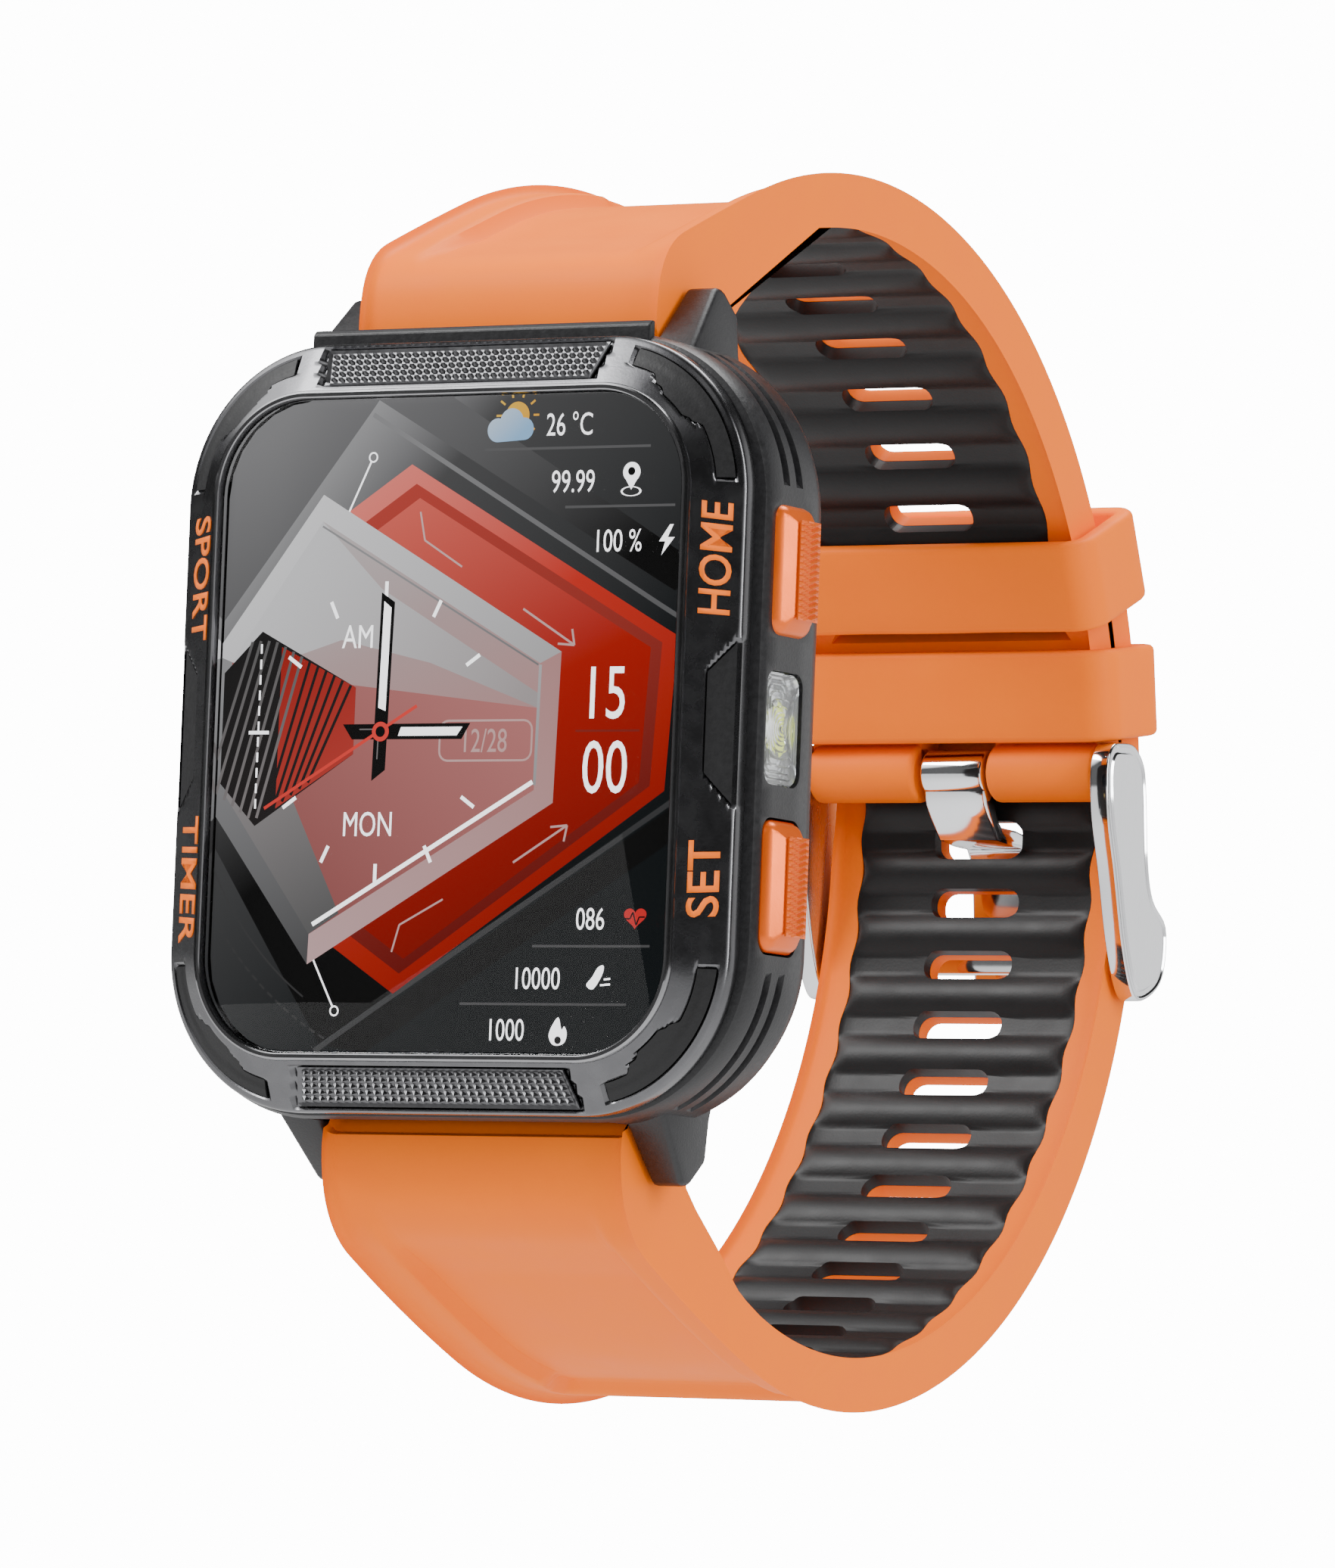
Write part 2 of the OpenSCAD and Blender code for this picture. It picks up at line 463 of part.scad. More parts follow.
// tool through the strap at a travelled length
module through(line, arcs, side, s, w, h) {
    q = at(line, arcs, s);
    translate([0, face_y + q[0], q[1]]) rotate([q[2] - (side > 0 ? 90 : -90), 0, 0]) cube([w, 16, h], center = true);
}
module slots_cut(line, arcs, side, list) for (s = list) through(line, arcs, side, s, slot_w, slot_h);

up_a = 24; up_b = 77;               // liner of the upper strap, travelled lengths
lo_a = 27; lo_b = 101;
prong_gap = prong_w + 1.0;
module strap_upper_shell() color("#ff8a45") difference() {
    union() {
        side(-half_s, half_s) polygon(section(up_line, 1));
        side(-panel_w/2, panel_w/2) panel_shape(up_line, up_arcs, 1, 5, 35);
        xcyl(barrel_r, -half_s, half_s, pin[0], pin[1]);
    }
    side(-liner_w/2, liner_w/2) channel_shape(up_line, up_arcs, 1, up_a, up_b);
    slots_cut(up_line, up_arcs, 1, up_slots);
    xcyl(bar_r + run, -half_s - 1, half_s + 1, bar_d, bar_z);
    xcyl(pin_r + run, -half_s - 1, half_s + 1, pin[0], pin[1]);
    // gap for the prong
    translate([-prong_gap/2, face_y + pin[0] - 5, pin[1] - 5]) cube([prong_gap, 10, 7.2]);
}
module strap_upper_liner() color("#2b2c2e") difference() {
    side(-liner_w/2 + 0.03, liner_w/2 - 0.03) liner_shape(up_line, up_arcs, 1, up_a + 0.1, up_b - 1.2, up_slots[0], up_pitch);
    slots_cut(up_line, up_arcs, 1, up_slots);
}
module strap_lower_shell() color("#ff8a45") difference() {
    union() {
        side(-half_s, half_s) polygon(section(lo_line, -1));
        side(-panel_w/2, panel_w/2) panel_shape(lo_line, lo_arcs, -1, 5, 32);
    }
    side(-liner_w/2, liner_w/2) channel_shape(lo_line, lo_arcs, -1, lo_a, lo_b);
    slots_cut(lo_line, lo_arcs, -1, lo_slots);
    through(lo_line, lo_arcs, -1, prong_s, slot_w, slot_h + 0.6);
    xcyl(bar_r + run, -half_s - 1, half_s + 1, bar_d, -bar_z);
    // rounded tip
    tip();
}
module tip() {
    q = lo_line[len(lo_line) - 1];
    translate([0, face_y + q[0], q[1]]) rotate([q[2] - 90, 0, 0]) translate([0, 10, -9]) rotate([90, 0, 0]) linear_extrude(20) difference() {
        translate([-20, 0]) square([40, 12]);
        intersection() { circle(9); square([40, 40], center = true); }
        square([2*half_s + 1, 0.02], center = true);
    }
}
module strap_lower_liner() color("#2b2c2e") difference() {
    side(-liner_w/2 + 0.03, liner_w/2 - 0.03) liner_shape(lo_line, lo_arcs, -1, lo_a + 0.1, lo_b - 1.2, lo_first, lo_pitch);
    slots_cut(lo_line, lo_arcs, -1, lo_slots);
    through(lo_line, lo_arcs, -1, prong_s, slot_w, slot_h + 0.6);
}

// ---------------------------------------------------------------- keepers and buckle
keeper_gap = strap_t + rib_h + tail_t + keeper_room;
module keeper(d, z, tilt, gap) translate([0, face_y + d - gap/2, z*loop_k]) rotate([tilt, 0, 0])
    translate([0, 0, -keeper_l/2]) linear_extrude(keeper_l) difference() {
        rrect(strap_w + 2*side_gap + 2*keeper_t, gap + 2*keeper_t, 2.0);
        rrect(strap_w + 2*side_gap, gap, 0.7);
    }
module keeper_upper() color("#ff8a45") keeper(68.55, 16.4, 24, keeper_gap);
module keeper_lower() color("#ff8a45") keeper(71.5, 8.3, 9, keeper_gap);

plate_in = half_s + side_gap;
module plate_profile() polygon([for (q = [[-0.5, 1.95], [1.2, 1.85], [2.6, 0.7], [3.1, -1.2], [3.7, -5.8], [4.6, -8.3], [6.6, -10.0], [6.6, -12.8],
    [5.5, -14.4], [3.1, -15.3], [1.7, -14.4], [0.3, -11.4], [-1.1, -6.8], [-2.3, -3.2], [-2.7, 0.0], [-2.0, 1.6]]) pin + q]);
module buckle_frame() color("#c8ccd0") difference() {
    union() {
        mirror_x() side(plate_in, plate_in + plate_t) plate_profile();
        side(-plate_in - 0.1, plate_in + 0.1) polygon([for (q = [[5.25, -10.2], [6.3, -10.2], [6.8, -10.9], [6.8, -12.7], [6.3, -13.4], [5.25, -13.4]]) pin + q]);
    }
    xcyl(pin_r, -40, 40, pin[0], pin[1]);
}
module buckle_bar() color("#a9adb3") xcyl(pin_r, -plate_in - plate_t, plate_in + plate_t, pin[0], pin[1]);
module prong() color("#d5d8db") difference() {
    union() {
        xcyl(1.6, -prong_w/2, prong_w/2, pin[0], pin[1]);
        side(-prong_w/2, prong_w/2) polygon([for (q = [[-1.0, -1.0], [0.0, -3.0], [1.4, -4.45], [5.4, -4.8], [6.3, -6.0], [7.25, -14.4], [8.1, -14.4],
            [7.3, -5.4], [6.0, -3.9], [1.9, -3.55], [1.0, -2.6], [0.7, -1.0]]) pin + q]);
    }
    xcyl(pin_r + run, -prong_w, prong_w, pin[0], pin[1]);
}

mid_case();
bezel();
corner_inlays();
side_inlays();
grip_insert_top();
grip_insert_bottom();
front_glass();
glass_gasket();
display_panel();
display_flex();
inner_frame();
main_board();
battery();
gps_antenna();
vibration_motor();
speaker();
microphone();
side_switches();
upper_button();
lower_button();
led_lens();
led_reflector();
led_board();
led_chip();
back_cover();
back_gasket();
back_screws();
sensor_window();
sensor_board();
charge_contacts();
spring_bar_top();
spring_bar_bottom();
strap_upper_shell();
strap_upper_liner();
strap_lower_shell();
strap_lower_liner();
keeper_upper();
keeper_lower();
buckle_frame();
buckle_bar();
prong();
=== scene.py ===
# %% [markdown]
# # A rugged running watch on a closed silicone strap
# The imported part is loaded as a fixed frame. Every piece below is built around it, in metres, in the same axes:
# X runs to 3 o'clock, Z to 12 o'clock, and the dial faces -Y.

# %% Load the frame
import math
import bpy
from mathutils import Matrix, Vector


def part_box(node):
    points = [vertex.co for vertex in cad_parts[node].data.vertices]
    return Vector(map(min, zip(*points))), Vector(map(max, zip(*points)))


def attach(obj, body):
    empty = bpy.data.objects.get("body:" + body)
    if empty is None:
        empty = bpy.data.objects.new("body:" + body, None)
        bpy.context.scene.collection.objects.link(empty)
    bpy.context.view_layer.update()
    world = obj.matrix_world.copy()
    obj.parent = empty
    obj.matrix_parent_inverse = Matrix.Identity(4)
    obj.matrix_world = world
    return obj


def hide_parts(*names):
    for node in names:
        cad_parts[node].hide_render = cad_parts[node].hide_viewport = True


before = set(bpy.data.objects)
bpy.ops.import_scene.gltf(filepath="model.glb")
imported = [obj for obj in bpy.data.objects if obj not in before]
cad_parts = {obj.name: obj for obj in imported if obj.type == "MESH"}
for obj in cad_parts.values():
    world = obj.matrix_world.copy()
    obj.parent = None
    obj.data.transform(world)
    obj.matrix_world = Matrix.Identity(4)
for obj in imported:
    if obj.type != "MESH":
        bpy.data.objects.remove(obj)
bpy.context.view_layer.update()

# %% [markdown]
# Lengths on a watch are easiest in millimetres, and depths are easiest counted backwards from the front of the glass.
# One small function turns "across, behind the glass, up" into a place in metres, and the glass node gives the front's place.

# %% Places in millimetres
MM = 0.001
face_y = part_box("front_glass")[0][1] / MM


def place(x, d, z):
    return Vector((x * MM, (face_y + d) * MM, z * MM))


print("front of the glass at y =", round(face_y, 2), "mm")

# %% [markdown]
# Edit-mode operators act on whatever is selected, so every step starts with nothing selected. `apply` turns a modifier
# into mesh, `tidy` merges doubles and turns faces outwards, and `settle` writes a piece's place and turn into its mesh.
# An open patch has no inside to turn away from, so `facing_out` judges it by the sum of its face normals: towards the
# front of the dial, unless another axis is named.

# %% Working habits
def clear_selection():
    for o in bpy.context.selected_objects:
        o.select_set(False)


def only(o):
    clear_selection()
    o.select_set(True)
    bpy.context.view_layer.objects.active = o
    return o


def apply(o, kind, **settings):
    only(o)
    m = o.modifiers.new(kind.lower(), kind)
    for k, v in settings.items():
        setattr(m, k, v)
    bpy.ops.object.modifier_apply(modifier=m.name)
    return o


def tidy(o, gap=2e-6, outwards=True):
    only(o)
    bpy.ops.object.mode_set(mode="EDIT")
    bpy.ops.mesh.select_all(action="SELECT")
    bpy.ops.mesh.remove_doubles(threshold=gap)
    if outwards:
        bpy.ops.mesh.normals_make_consistent(inside=False)
    bpy.ops.object.mode_set(mode="OBJECT")
    return o


def facing_out(o, axis=1, sign=-1):
    only(o)
    total = sum((p.normal * p.area for p in o.data.polygons), Vector())
    if total[axis] * sign < 0:
        bpy.ops.object.mode_set(mode="EDIT")
        bpy.ops.mesh.select_all(action="SELECT")
        bpy.ops.mesh.flip_normals()
        bpy.ops.object.mode_set(mode="OBJECT")
    return o


def smooth(o, degrees=35):
    only(o)
    bpy.ops.object.shade_smooth_by_angle(angle=math.radians(degrees))
    return o


def settle(o):
    only(o)
    bpy.ops.object.transform_apply(location=True, rotation=True, scale=True)
    return o


def join(name, objects):
    clear_selection()
    for o in objects:
        o.select_set(True)
    bpy.context.view_layer.objects.active = objects[0]
    if len(objects) > 1:
        bpy.ops.object.join()
    o = bpy.context.object
    o.name = o.data.name = name
    return o


# %% [markdown]
# Most faces of a watch follow a path: round a rounded rectangle, or along a bent strap. A grid primitive can be laid
# over any such face. `lay` adds a grid and moves each vertex to where a rule puts the cell (i, j). Closed directions
# meet at a seam, which is merged, and open ends of a closed tube are filled.

# %% Lay a grid over a face
def lay(name, nu, nv, rule, solid=True, caps=False):
    clear_selection()
    bpy.ops.mesh.primitive_grid_add(x_subdivisions=nu, y_subdivisions=nv, size=2)
    o = bpy.context.object
    o.name = o.data.name = name
    for v in o.data.vertices:
        i = round((v.co.x + 1) / 2 * nu)
        j = round((v.co.y + 1) / 2 * nv)
        v.co = rule(i, j)
    tidy(o, outwards=False)
    if caps:
        bpy.ops.object.mode_set(mode="EDIT")
        bpy.ops.mesh.select_all(action="DESELECT")
        bpy.ops.mesh.select_mode(type="EDGE")
        bpy.ops.mesh.select_non_manifold(extend=False)
        bpy.ops.mesh.fill_holes(sides=0)
        bpy.ops.mesh.select_mode(type="VERT")
        bpy.ops.object.mode_set(mode="OBJECT")
    if solid or caps:
        tidy(o)
    return o


# %% [markdown]
# Flat parts with a drawn outline start as a circle primitive with one vertex for each corner. The vertices are moved to
# the outline, the face is extruded to its thickness, and the rim edges are bevelled. A side profile lies in the plane
# of depth and height and is extruded across; a front profile lies on the dial and is extruded backwards.

# %% Cut a plate from an outline
def plate(name, outline, at, thick, facing, bevel=0.0, segments=2, limit=30):
    clear_selection()
    bpy.ops.mesh.primitive_circle_add(vertices=len(outline), radius=1, fill_type="NGON")
    o = bpy.context.object
    o.name = o.data.name = name
    for v, p in zip(o.data.vertices, outline):
        v.co = place(at, p[0], p[1]) if facing == "side" else place(p[0], at, p[1])
    move = (thick * MM, 0, 0) if facing == "side" else (0, thick * MM, 0)
    bpy.ops.object.mode_set(mode="EDIT")
    bpy.ops.mesh.select_all(action="SELECT")
    bpy.ops.mesh.extrude_region_move(TRANSFORM_OT_translate={"value": move})
    bpy.ops.mesh.select_all(action="SELECT")
    bpy.ops.mesh.normals_make_consistent(inside=False)
    bpy.ops.object.mode_set(mode="OBJECT")
    if bevel:
        apply(o, "BEVEL", width=bevel * MM, segments=segments, limit_method="ANGLE", angle_limit=math.radians(limit))
    return o


def rounded(points, n=8):
    # a smooth closed line through the points
    out, m = [], len(points)
    for i in range(m):
        a, b, c, d = (Vector(points[(i + k) % m]) for k in (-1, 0, 1, 2))
        for j in range(n):
            t = j / n
            out.append(tuple(0.5 * (2 * b + (c - a) * t + (2 * a - 5 * b + 4 * c - d) * t * t + (3 * b - a - 3 * c + d) * t ** 3)))
    return out


# %% [markdown]
# Holes are cut with a Boolean modifier. The cutters are rounded boxes: a cube primitive, stretched, with the edges
# along its length bevelled. `cut` also drops the materials that a cut brings in, so one finish can be given afterwards.

# %% Rounded boxes and cuts
def rounded_box(name, size, radius, along, segments=6):
    clear_selection()
    bpy.ops.mesh.primitive_cube_add(size=1)
    o = bpy.context.object
    o.name = o.data.name = name
    for v in o.data.vertices:
        v.co = Vector(v.co[k] * size[k] * MM for k in range(3))
    bpy.ops.object.mode_set(mode="EDIT")
    bpy.ops.mesh.select_all(action="DESELECT")
    bpy.ops.object.mode_set(mode="OBJECT")
    for e in o.data.edges:
        a, b = (o.data.vertices[k].co for k in e.vertices)
        e.select = abs((a - b)[along]) > 1e-6
    bpy.ops.object.mode_set(mode="EDIT")
    bpy.ops.mesh.select_mode(type="EDGE")
    bpy.ops.mesh.bevel(offset=radius * MM, segments=segments, affect="EDGES")
    bpy.ops.mesh.select_mode(type="VERT")
    bpy.ops.object.mode_set(mode="OBJECT")
    return o


def cut(o, cutter, solver="EXACT"):
    apply(o, "BOOLEAN", object=cutter, operation="DIFFERENCE", solver=solver)
    bpy.data.objects.remove(cutter)
    o.data.materials.clear()
    for face in o.data.polygons:
        face.material_index = 0
    return o


# %% [markdown]
# ## Finishes
# Each finish is one Principled shader with its own fine structure: noise for grain, and a bump so that light catches it.
# A small builder adds a grain of a given size, colour change and roughness change. Patterns sit on Object coordinates.

# %% A builder for fine-grained finishes
def finish(name, low, high, scale, rough, rough_swing=0.08, metal=0.0, bump=0.1, bump_scale=None, stretch=(1, 1, 1), **sockets):
    m = bpy.data.materials.new(name)
    m.use_nodes = True
    t = m.node_tree
    s = t.nodes["Principled BSDF"]
    co = t.nodes.new("ShaderNodeTexCoord")
    mp = t.nodes.new("ShaderNodeMapping")
    mp.inputs["Scale"].default_value = stretch
    n = t.nodes.new("ShaderNodeTexNoise")
    n.inputs["Scale"].default_value = scale
    n.inputs["Detail"].default_value = 6
    mix = t.nodes.new("ShaderNodeMix")
    mix.data_type = "RGBA"
    mix.inputs["A"].default_value = (*low, 1)
    mix.inputs["B"].default_value = (*high, 1)
    r = t.nodes.new("ShaderNodeMapRange")
    r.inputs["To Min"].default_value = rough - rough_swing
    r.inputs["To Max"].default_value = rough + rough_swing
    t.links.new(co.outputs["Object"], mp.inputs["Vector"])
    t.links.new(mp.outputs["Vector"], n.inputs["Vector"])
    t.links.new(n.outputs["Fac"], mix.inputs["Factor"])
    t.links.new(mix.outputs["Result"], s.inputs["Base Color"])
    t.links.new(n.outputs["Fac"], r.inputs["Value"])
    t.links.new(r.outputs["Result"], s.inputs["Roughness"])
    if bump:
        n2 = t.nodes.new("ShaderNodeTexNoise")
        n2.inputs["Scale"].default_value = bump_scale or scale * 4
        n2.inputs["Detail"].default_value = 3
        b = t.nodes.new("ShaderNodeBump")
        b.inputs["Strength"].default_value = bump
        b.inputs["Distance"].default_value = 0.00004
        t.links.new(mp.outputs["Vector"], n2.inputs["Vector"])
        t.links.new(n2.outputs["Fac"], b.inputs["Height"])
        t.links.new(b.outputs["Normal"], s.inputs["Normal"])
    s.inputs["Metallic"].default_value = metal
    for k, v in sockets.items():
        s.inputs[k.replace("_", " ")].default_value = v
    return m


# %% [markdown]
# The strap is matt silicone: a fine even grain, a slight change of colour, and only a weak reflection.
# The keepers and the strap share it. The lining is the same rubber in charcoal.

# %% Silicone, plastics and paint
silicone = finish("orange_silicone", (0.97, 0.165, 0.0), (1.0, 0.195, 0.0), 260, 0.5, bump=0.16, bump_scale=5200, Specular_IOR_Level=0.1)
silicone_dark = finish("charcoal_silicone", (0.006, 0.006, 0.0065), (0.011, 0.011, 0.0115), 420, 0.46, bump=0.2, bump_scale=5200,
                       Specular_IOR_Level=0.3)
case_black = finish("speckled_black_plastic", (0.004, 0.004, 0.0045), (0.018, 0.018, 0.02), 2600, 0.4, 0.1, bump=0.35, bump_scale=6000,
                    Specular_IOR_Level=0.4)
trim_black = finish("matt_trim", (0.006, 0.006, 0.0065), (0.014, 0.014, 0.015), 3000, 0.5, 0.1, bump=0.3, bump_scale=7000,
                    Specular_IOR_Level=0.35)
button_paint = finish("orange_anodised", (0.8, 0.115, 0.0), (0.9, 0.14, 0.001), 500, 0.3, 0.05, metal=0.45, bump=0.12, bump_scale=7000)
label_paint = finish("orange_ink", (0.9, 0.15, 0.0), (0.96, 0.18, 0.0), 900, 0.5, bump=0.05, Specular_IOR_Level=0.2)

# %% [markdown]
# Metals differ by their polish: the bezel is dark gunmetal with a satin brush, its lips are polished, the buckle is
# bright chrome with satin side faces, and pins are plain steel.

# %% Metals
gunmetal = finish("gunmetal", (0.09, 0.09, 0.095), (0.14, 0.14, 0.147), 700, 0.27, 0.06, metal=1.0, bump=0.12, bump_scale=5200,
                  Coat_Weight=0.6, Coat_Roughness=0.12)
polished = finish("polished_gunmetal", (0.26, 0.26, 0.27), (0.34, 0.34, 0.35), 500, 0.16, 0.04, metal=1.0, bump=0.03)
knurled = finish("knurled_gunmetal", (0.1, 0.1, 0.105), (0.17, 0.17, 0.176), 1500, 0.32, 0.08, metal=1.0, bump=0.1)
chrome = finish("chrome", (0.74, 0.75, 0.77), (0.82, 0.83, 0.85), 240, 0.08, 0.03, metal=1.0, bump=0.02)
satin = finish("satin_steel", (0.66, 0.67, 0.69), (0.78, 0.79, 0.8), 900, 0.27, 0.06, metal=1.0, bump=0.1, stretch=(1, 1, 0.12))
steel = finish("steel", (0.5, 0.51, 0.53), (0.62, 0.63, 0.65), 900, 0.25, 0.06, metal=1.0, bump=0.08)
gold = finish("gold_plate", (0.85, 0.6, 0.25), (0.92, 0.68, 0.32), 800, 0.22, 0.05, metal=1.0, bump=0.05)

# %% [markdown]
# Inner parts are seldom seen, but each gets its own finish: solder mask, foil, flex film, ceramic and seals.

# %% Finishes of the inner parts
solder = finish("solder_mask", (0.01, 0.09, 0.03), (0.02, 0.14, 0.05), 800, 0.35, bump=0.15)
foil = finish("battery_foil", (0.62, 0.63, 0.65), (0.72, 0.73, 0.75), 300, 0.3, metal=0.9, bump=0.2, bump_scale=900)
film = finish("flex_film", (0.42, 0.18, 0.04), (0.52, 0.24, 0.06), 500, 0.3, bump=0.1)
ceramic = finish("ceramic", (0.66, 0.6, 0.45), (0.74, 0.68, 0.54), 900, 0.6, bump=0.1)
rubber = finish("seal_rubber", (0.012, 0.012, 0.012), (0.024, 0.024, 0.024), 900, 0.6, bump=0.1)
red_rubber = finish("red_seal", (0.3, 0.02, 0.02), (0.4, 0.03, 0.03), 900, 0.55, bump=0.1)
mirror = finish("lamp_mirror", (0.86, 0.87, 0.88), (0.92, 0.93, 0.94), 400, 0.1, 0.03, metal=1.0, bump=0.03)
lamp = finish("lamp_chip", (0.7, 0.78, 0.05), (0.9, 0.95, 0.16), 900, 0.3, bump=0.05, Emission_Color=(0.75, 0.85, 0.04, 1),
              Emission_Strength=0.9)
cover = finish("cover_glass", (0.97, 0.97, 0.98), (0.99, 0.99, 0.99), 200, 0.0, 0.0, bump=0.0, Transmission_Weight=1.0, IOR=1.35)
dark_window = finish("tinted_window", (0.01, 0.011, 0.014), (0.016, 0.017, 0.02), 300, 0.06, 0.02, bump=0.0)
clear = finish("clear_lens", (0.93, 0.95, 0.96), (0.97, 0.98, 0.99), 300, 0.05, 0.02, bump=0.0, Transmission_Weight=0.9, IOR=1.45)

# %% [markdown]
# The frame's own nodes that stay visible, and those inside, take these finishes. Their meshes aren't touched.

# %% Give the carried-over nodes their finishes
node_finish = {
    "mid_case": case_black, "bezel": gunmetal, "corner_inlays": trim_black, "side_inlays": trim_black, "grip_insert_top": knurled,
    "grip_insert_bottom": knurled, "front_glass": cover, "glass_gasket": rubber, "display_panel": dark_window, "display_flex": film,
    "inner_frame": foil, "main_board": solder, "battery": foil, "gps_antenna": ceramic, "vibration_motor": steel,
    "speaker": trim_black, "microphone": steel, "side_switches": film, "upper_button": button_paint, "lower_button": button_paint,
    "led_lens": clear, "led_reflector": mirror, "led_board": solder, "led_chip": lamp, "back_cover": case_black,
    "back_gasket": red_rubber, "back_screws": steel, "sensor_window": dark_window, "sensor_board": solder, "charge_contacts": gold,
    "spring_bar_top": steel, "spring_bar_bottom": steel, "strap_upper_shell": silicone, "strap_upper_liner": silicone_dark,
    "strap_lower_shell": silicone, "strap_lower_liner": silicone_dark, "keeper_upper": silicone, "keeper_lower": silicone,
    "buckle_frame": satin, "buckle_bar": steel, "prong": chrome,
}
for name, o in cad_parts.items():
    o.data.materials.clear()
    o.data.materials.append(node_finish[name])
print(len(node_finish), "nodes have finishes")


def done(o, material, body, slot, *nodes):
    if not o.data.materials:
        o.data.materials.append(material)
    if o.name not in [x.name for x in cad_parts.values()]:
        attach(o, body)
    if nodes:
        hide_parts(*nodes)
    clear_selection()
    print(o.name, len(o.data.vertices), "vertices")
    return o


# %% [markdown]
# ## The bezel
# The bezel is a rounded-rectangle ring: a narrow polished lip round the glass, a wide facet that slopes down to the
# outside, and a short outer wall. One number, `u`, runs once round the rounded rectangle in eight stretches, four
# corners and four sides, and gives a point on it, so a ring is a grid laid over `u` and the steps of its section.

# %% Once round a rounded rectangle
def around(u, w, h, r):
    k = int(u) % 8
    t = u - int(u)
    sx = (1, 0, -1, 0, -1, 0, 1, 0)
    ends = [(1, 1), (-1, 1), (-1, -1), (1, -1)]
    c = ends[k // 2]
    if k % 2 == 0:
        a = math.radians(90 * (k // 2) + 90 * t)
        return Vector((c[0] * (w / 2 - r) + r * math.cos(a), c[1] * (h / 2 - r) + r * math.sin(a)))
    a = around(k - 1 + 0.999999, w, h, r)
    b = around((k + 1) % 8, w, h, r)
    return a.lerp(b, t)


def stops(corner, long_side, short_side):
    # stretch 1 and 5 are the short sides, 3 and 7 the long ones
    out = []
    for k in range(8):
        n = corner if k % 2 == 0 else (short_side if k in (1, 5) else long_side)
        out += [k + i / n for i in range(n)]
    return out + [8.0 - 1e-9]


# %% [markdown]
# The facet also carries the inlays, the knurled grips and the lettering, so it gets its own rule: `facet(u, f, h)` is the
# point at `u` round the bezel, at share `f` of its width, lifted by `h` off the surface.

# %% The sloping facet
window = (33.9, 41.3, 6.15)
lip_out = (35.02, 42.32, 6.76)
rim = (40.7, 48.3, 10.05)
facet_top, facet_low = -0.12, 1.5


def facet(u, f, h=0.0):
    a, b = around(u, *lip_out), around(u, *rim)
    p = a.lerp(b, f)
    run = (b - a).length
    drop = facet_low - facet_top
    out = (b - a).normalized()
    k = h / math.hypot(run, drop)
    return place(p.x + out.x * drop * k, facet_top + f * drop - run * k, p.y + out.y * drop * k)


def on_side(z):
    return 7 + (z / (rim[1] / 2 - rim[2]) + 1) / 2


def step(x, width=0.03):
    t = min(1, max(0, x / width + 0.5))
    return t * t * (3 - 2 * t)


# %% [markdown]
# Three kinds of recess are sunk into the facet: one in each corner with a stepped, wavy inner edge, one in the middle
# of each long side with slanting ends, and one at the top and bottom for the knurled grips. Each is written as a depth
# over (u, f), folded into one quarter so that all four corners match.

# %% Recesses in the facet
def quarter(u):
    # distance round from the middle of the nearer long side
    u = u % 8
    return min(abs(u - 7.5), abs(u + 0.5), abs(u - 3.5))


def corner_inner(q):
    # where the corner recess starts across the facet; q runs 0 at the side's middle to 2 at the top's middle
    base = 0.3
    base += 0.16 * step(0.86 - q, 0.06) + 0.16 * step(q - 1.2, 0.05)
    base -= 0.1 * step(q - 0.62 - 0.3, 0.05) * step(1.12 - q, 0.05)
    return base


def recess(u, f):
    q = quarter(u)
    depth = 0.0
    if 0.5 < q < 1.45:
        inside = step(q - 0.56, 0.02) * step(1.36 - q, 0.02) * step(f - corner_inner(q), 0.05) * step(0.86 - f, 0.05)
        depth = max(depth, 0.3 * inside)
    if q < 0.3:
        half = 0.11 + 0.075 * (f - 0.4) / 0.6
        depth = max(depth, 0.34 * step(half - q, 0.01) * step(f - 0.42, 0.05))
    if q > 1.4:
        half = 0.52 - 0.06 * (1 - f)
        depth = max(depth, 0.34 * step(half - (2 - q), 0.01) * step(f - 0.1, 0.05) * step(0.97 - f, 0.04))
    return depth


# %% [markdown]
# The whole ring is one closed grid. Its section runs from the inside of the lip, over the lip, across the facet with its
# recesses, and down the outer wall. The lip's front faces take the polished metal.

# %% Lay the bezel
lip = [(*window, 2.7), (*window, -0.28), (33.96, 41.36, 6.18, -0.42), (34.1, 41.5, 6.25, -0.48), (34.56, 41.94, 6.5, -0.48),
       (34.86, 42.2, 6.68, -0.4), (*lip_out, -0.24)]
skirt = [(40.88, 48.48, 10.14, 1.6), (41.0, 48.6, 10.2, 1.75), (41.0, 48.6, 10.2, 2.7)]
across = [0, 0.04] + [0.08 + 0.88 * i / 26 for i in range(27)] + [1.0]
bezel_us = stops(40, 96, 60)


def bezel_rule(i, j):
    u = bezel_us[i] if i < len(bezel_us) - 1 else 0.0
    j = j % (len(lip) + len(across) + len(skirt))
    if j < len(lip):
        p = around(u, *lip[j][:3])
        return place(p.x, lip[j][3], p.y)
    j -= len(lip)
    if j < len(across):
        return facet(u, across[j], -recess(u, across[j]))
    j -= len(across)
    sink = 0.3 * step(0.185 - quarter(u), 0.01) if j == 0 else 0
    p = around(u, *skirt[j][:3])
    return place(p.x, skirt[j][3] + sink, p.y)


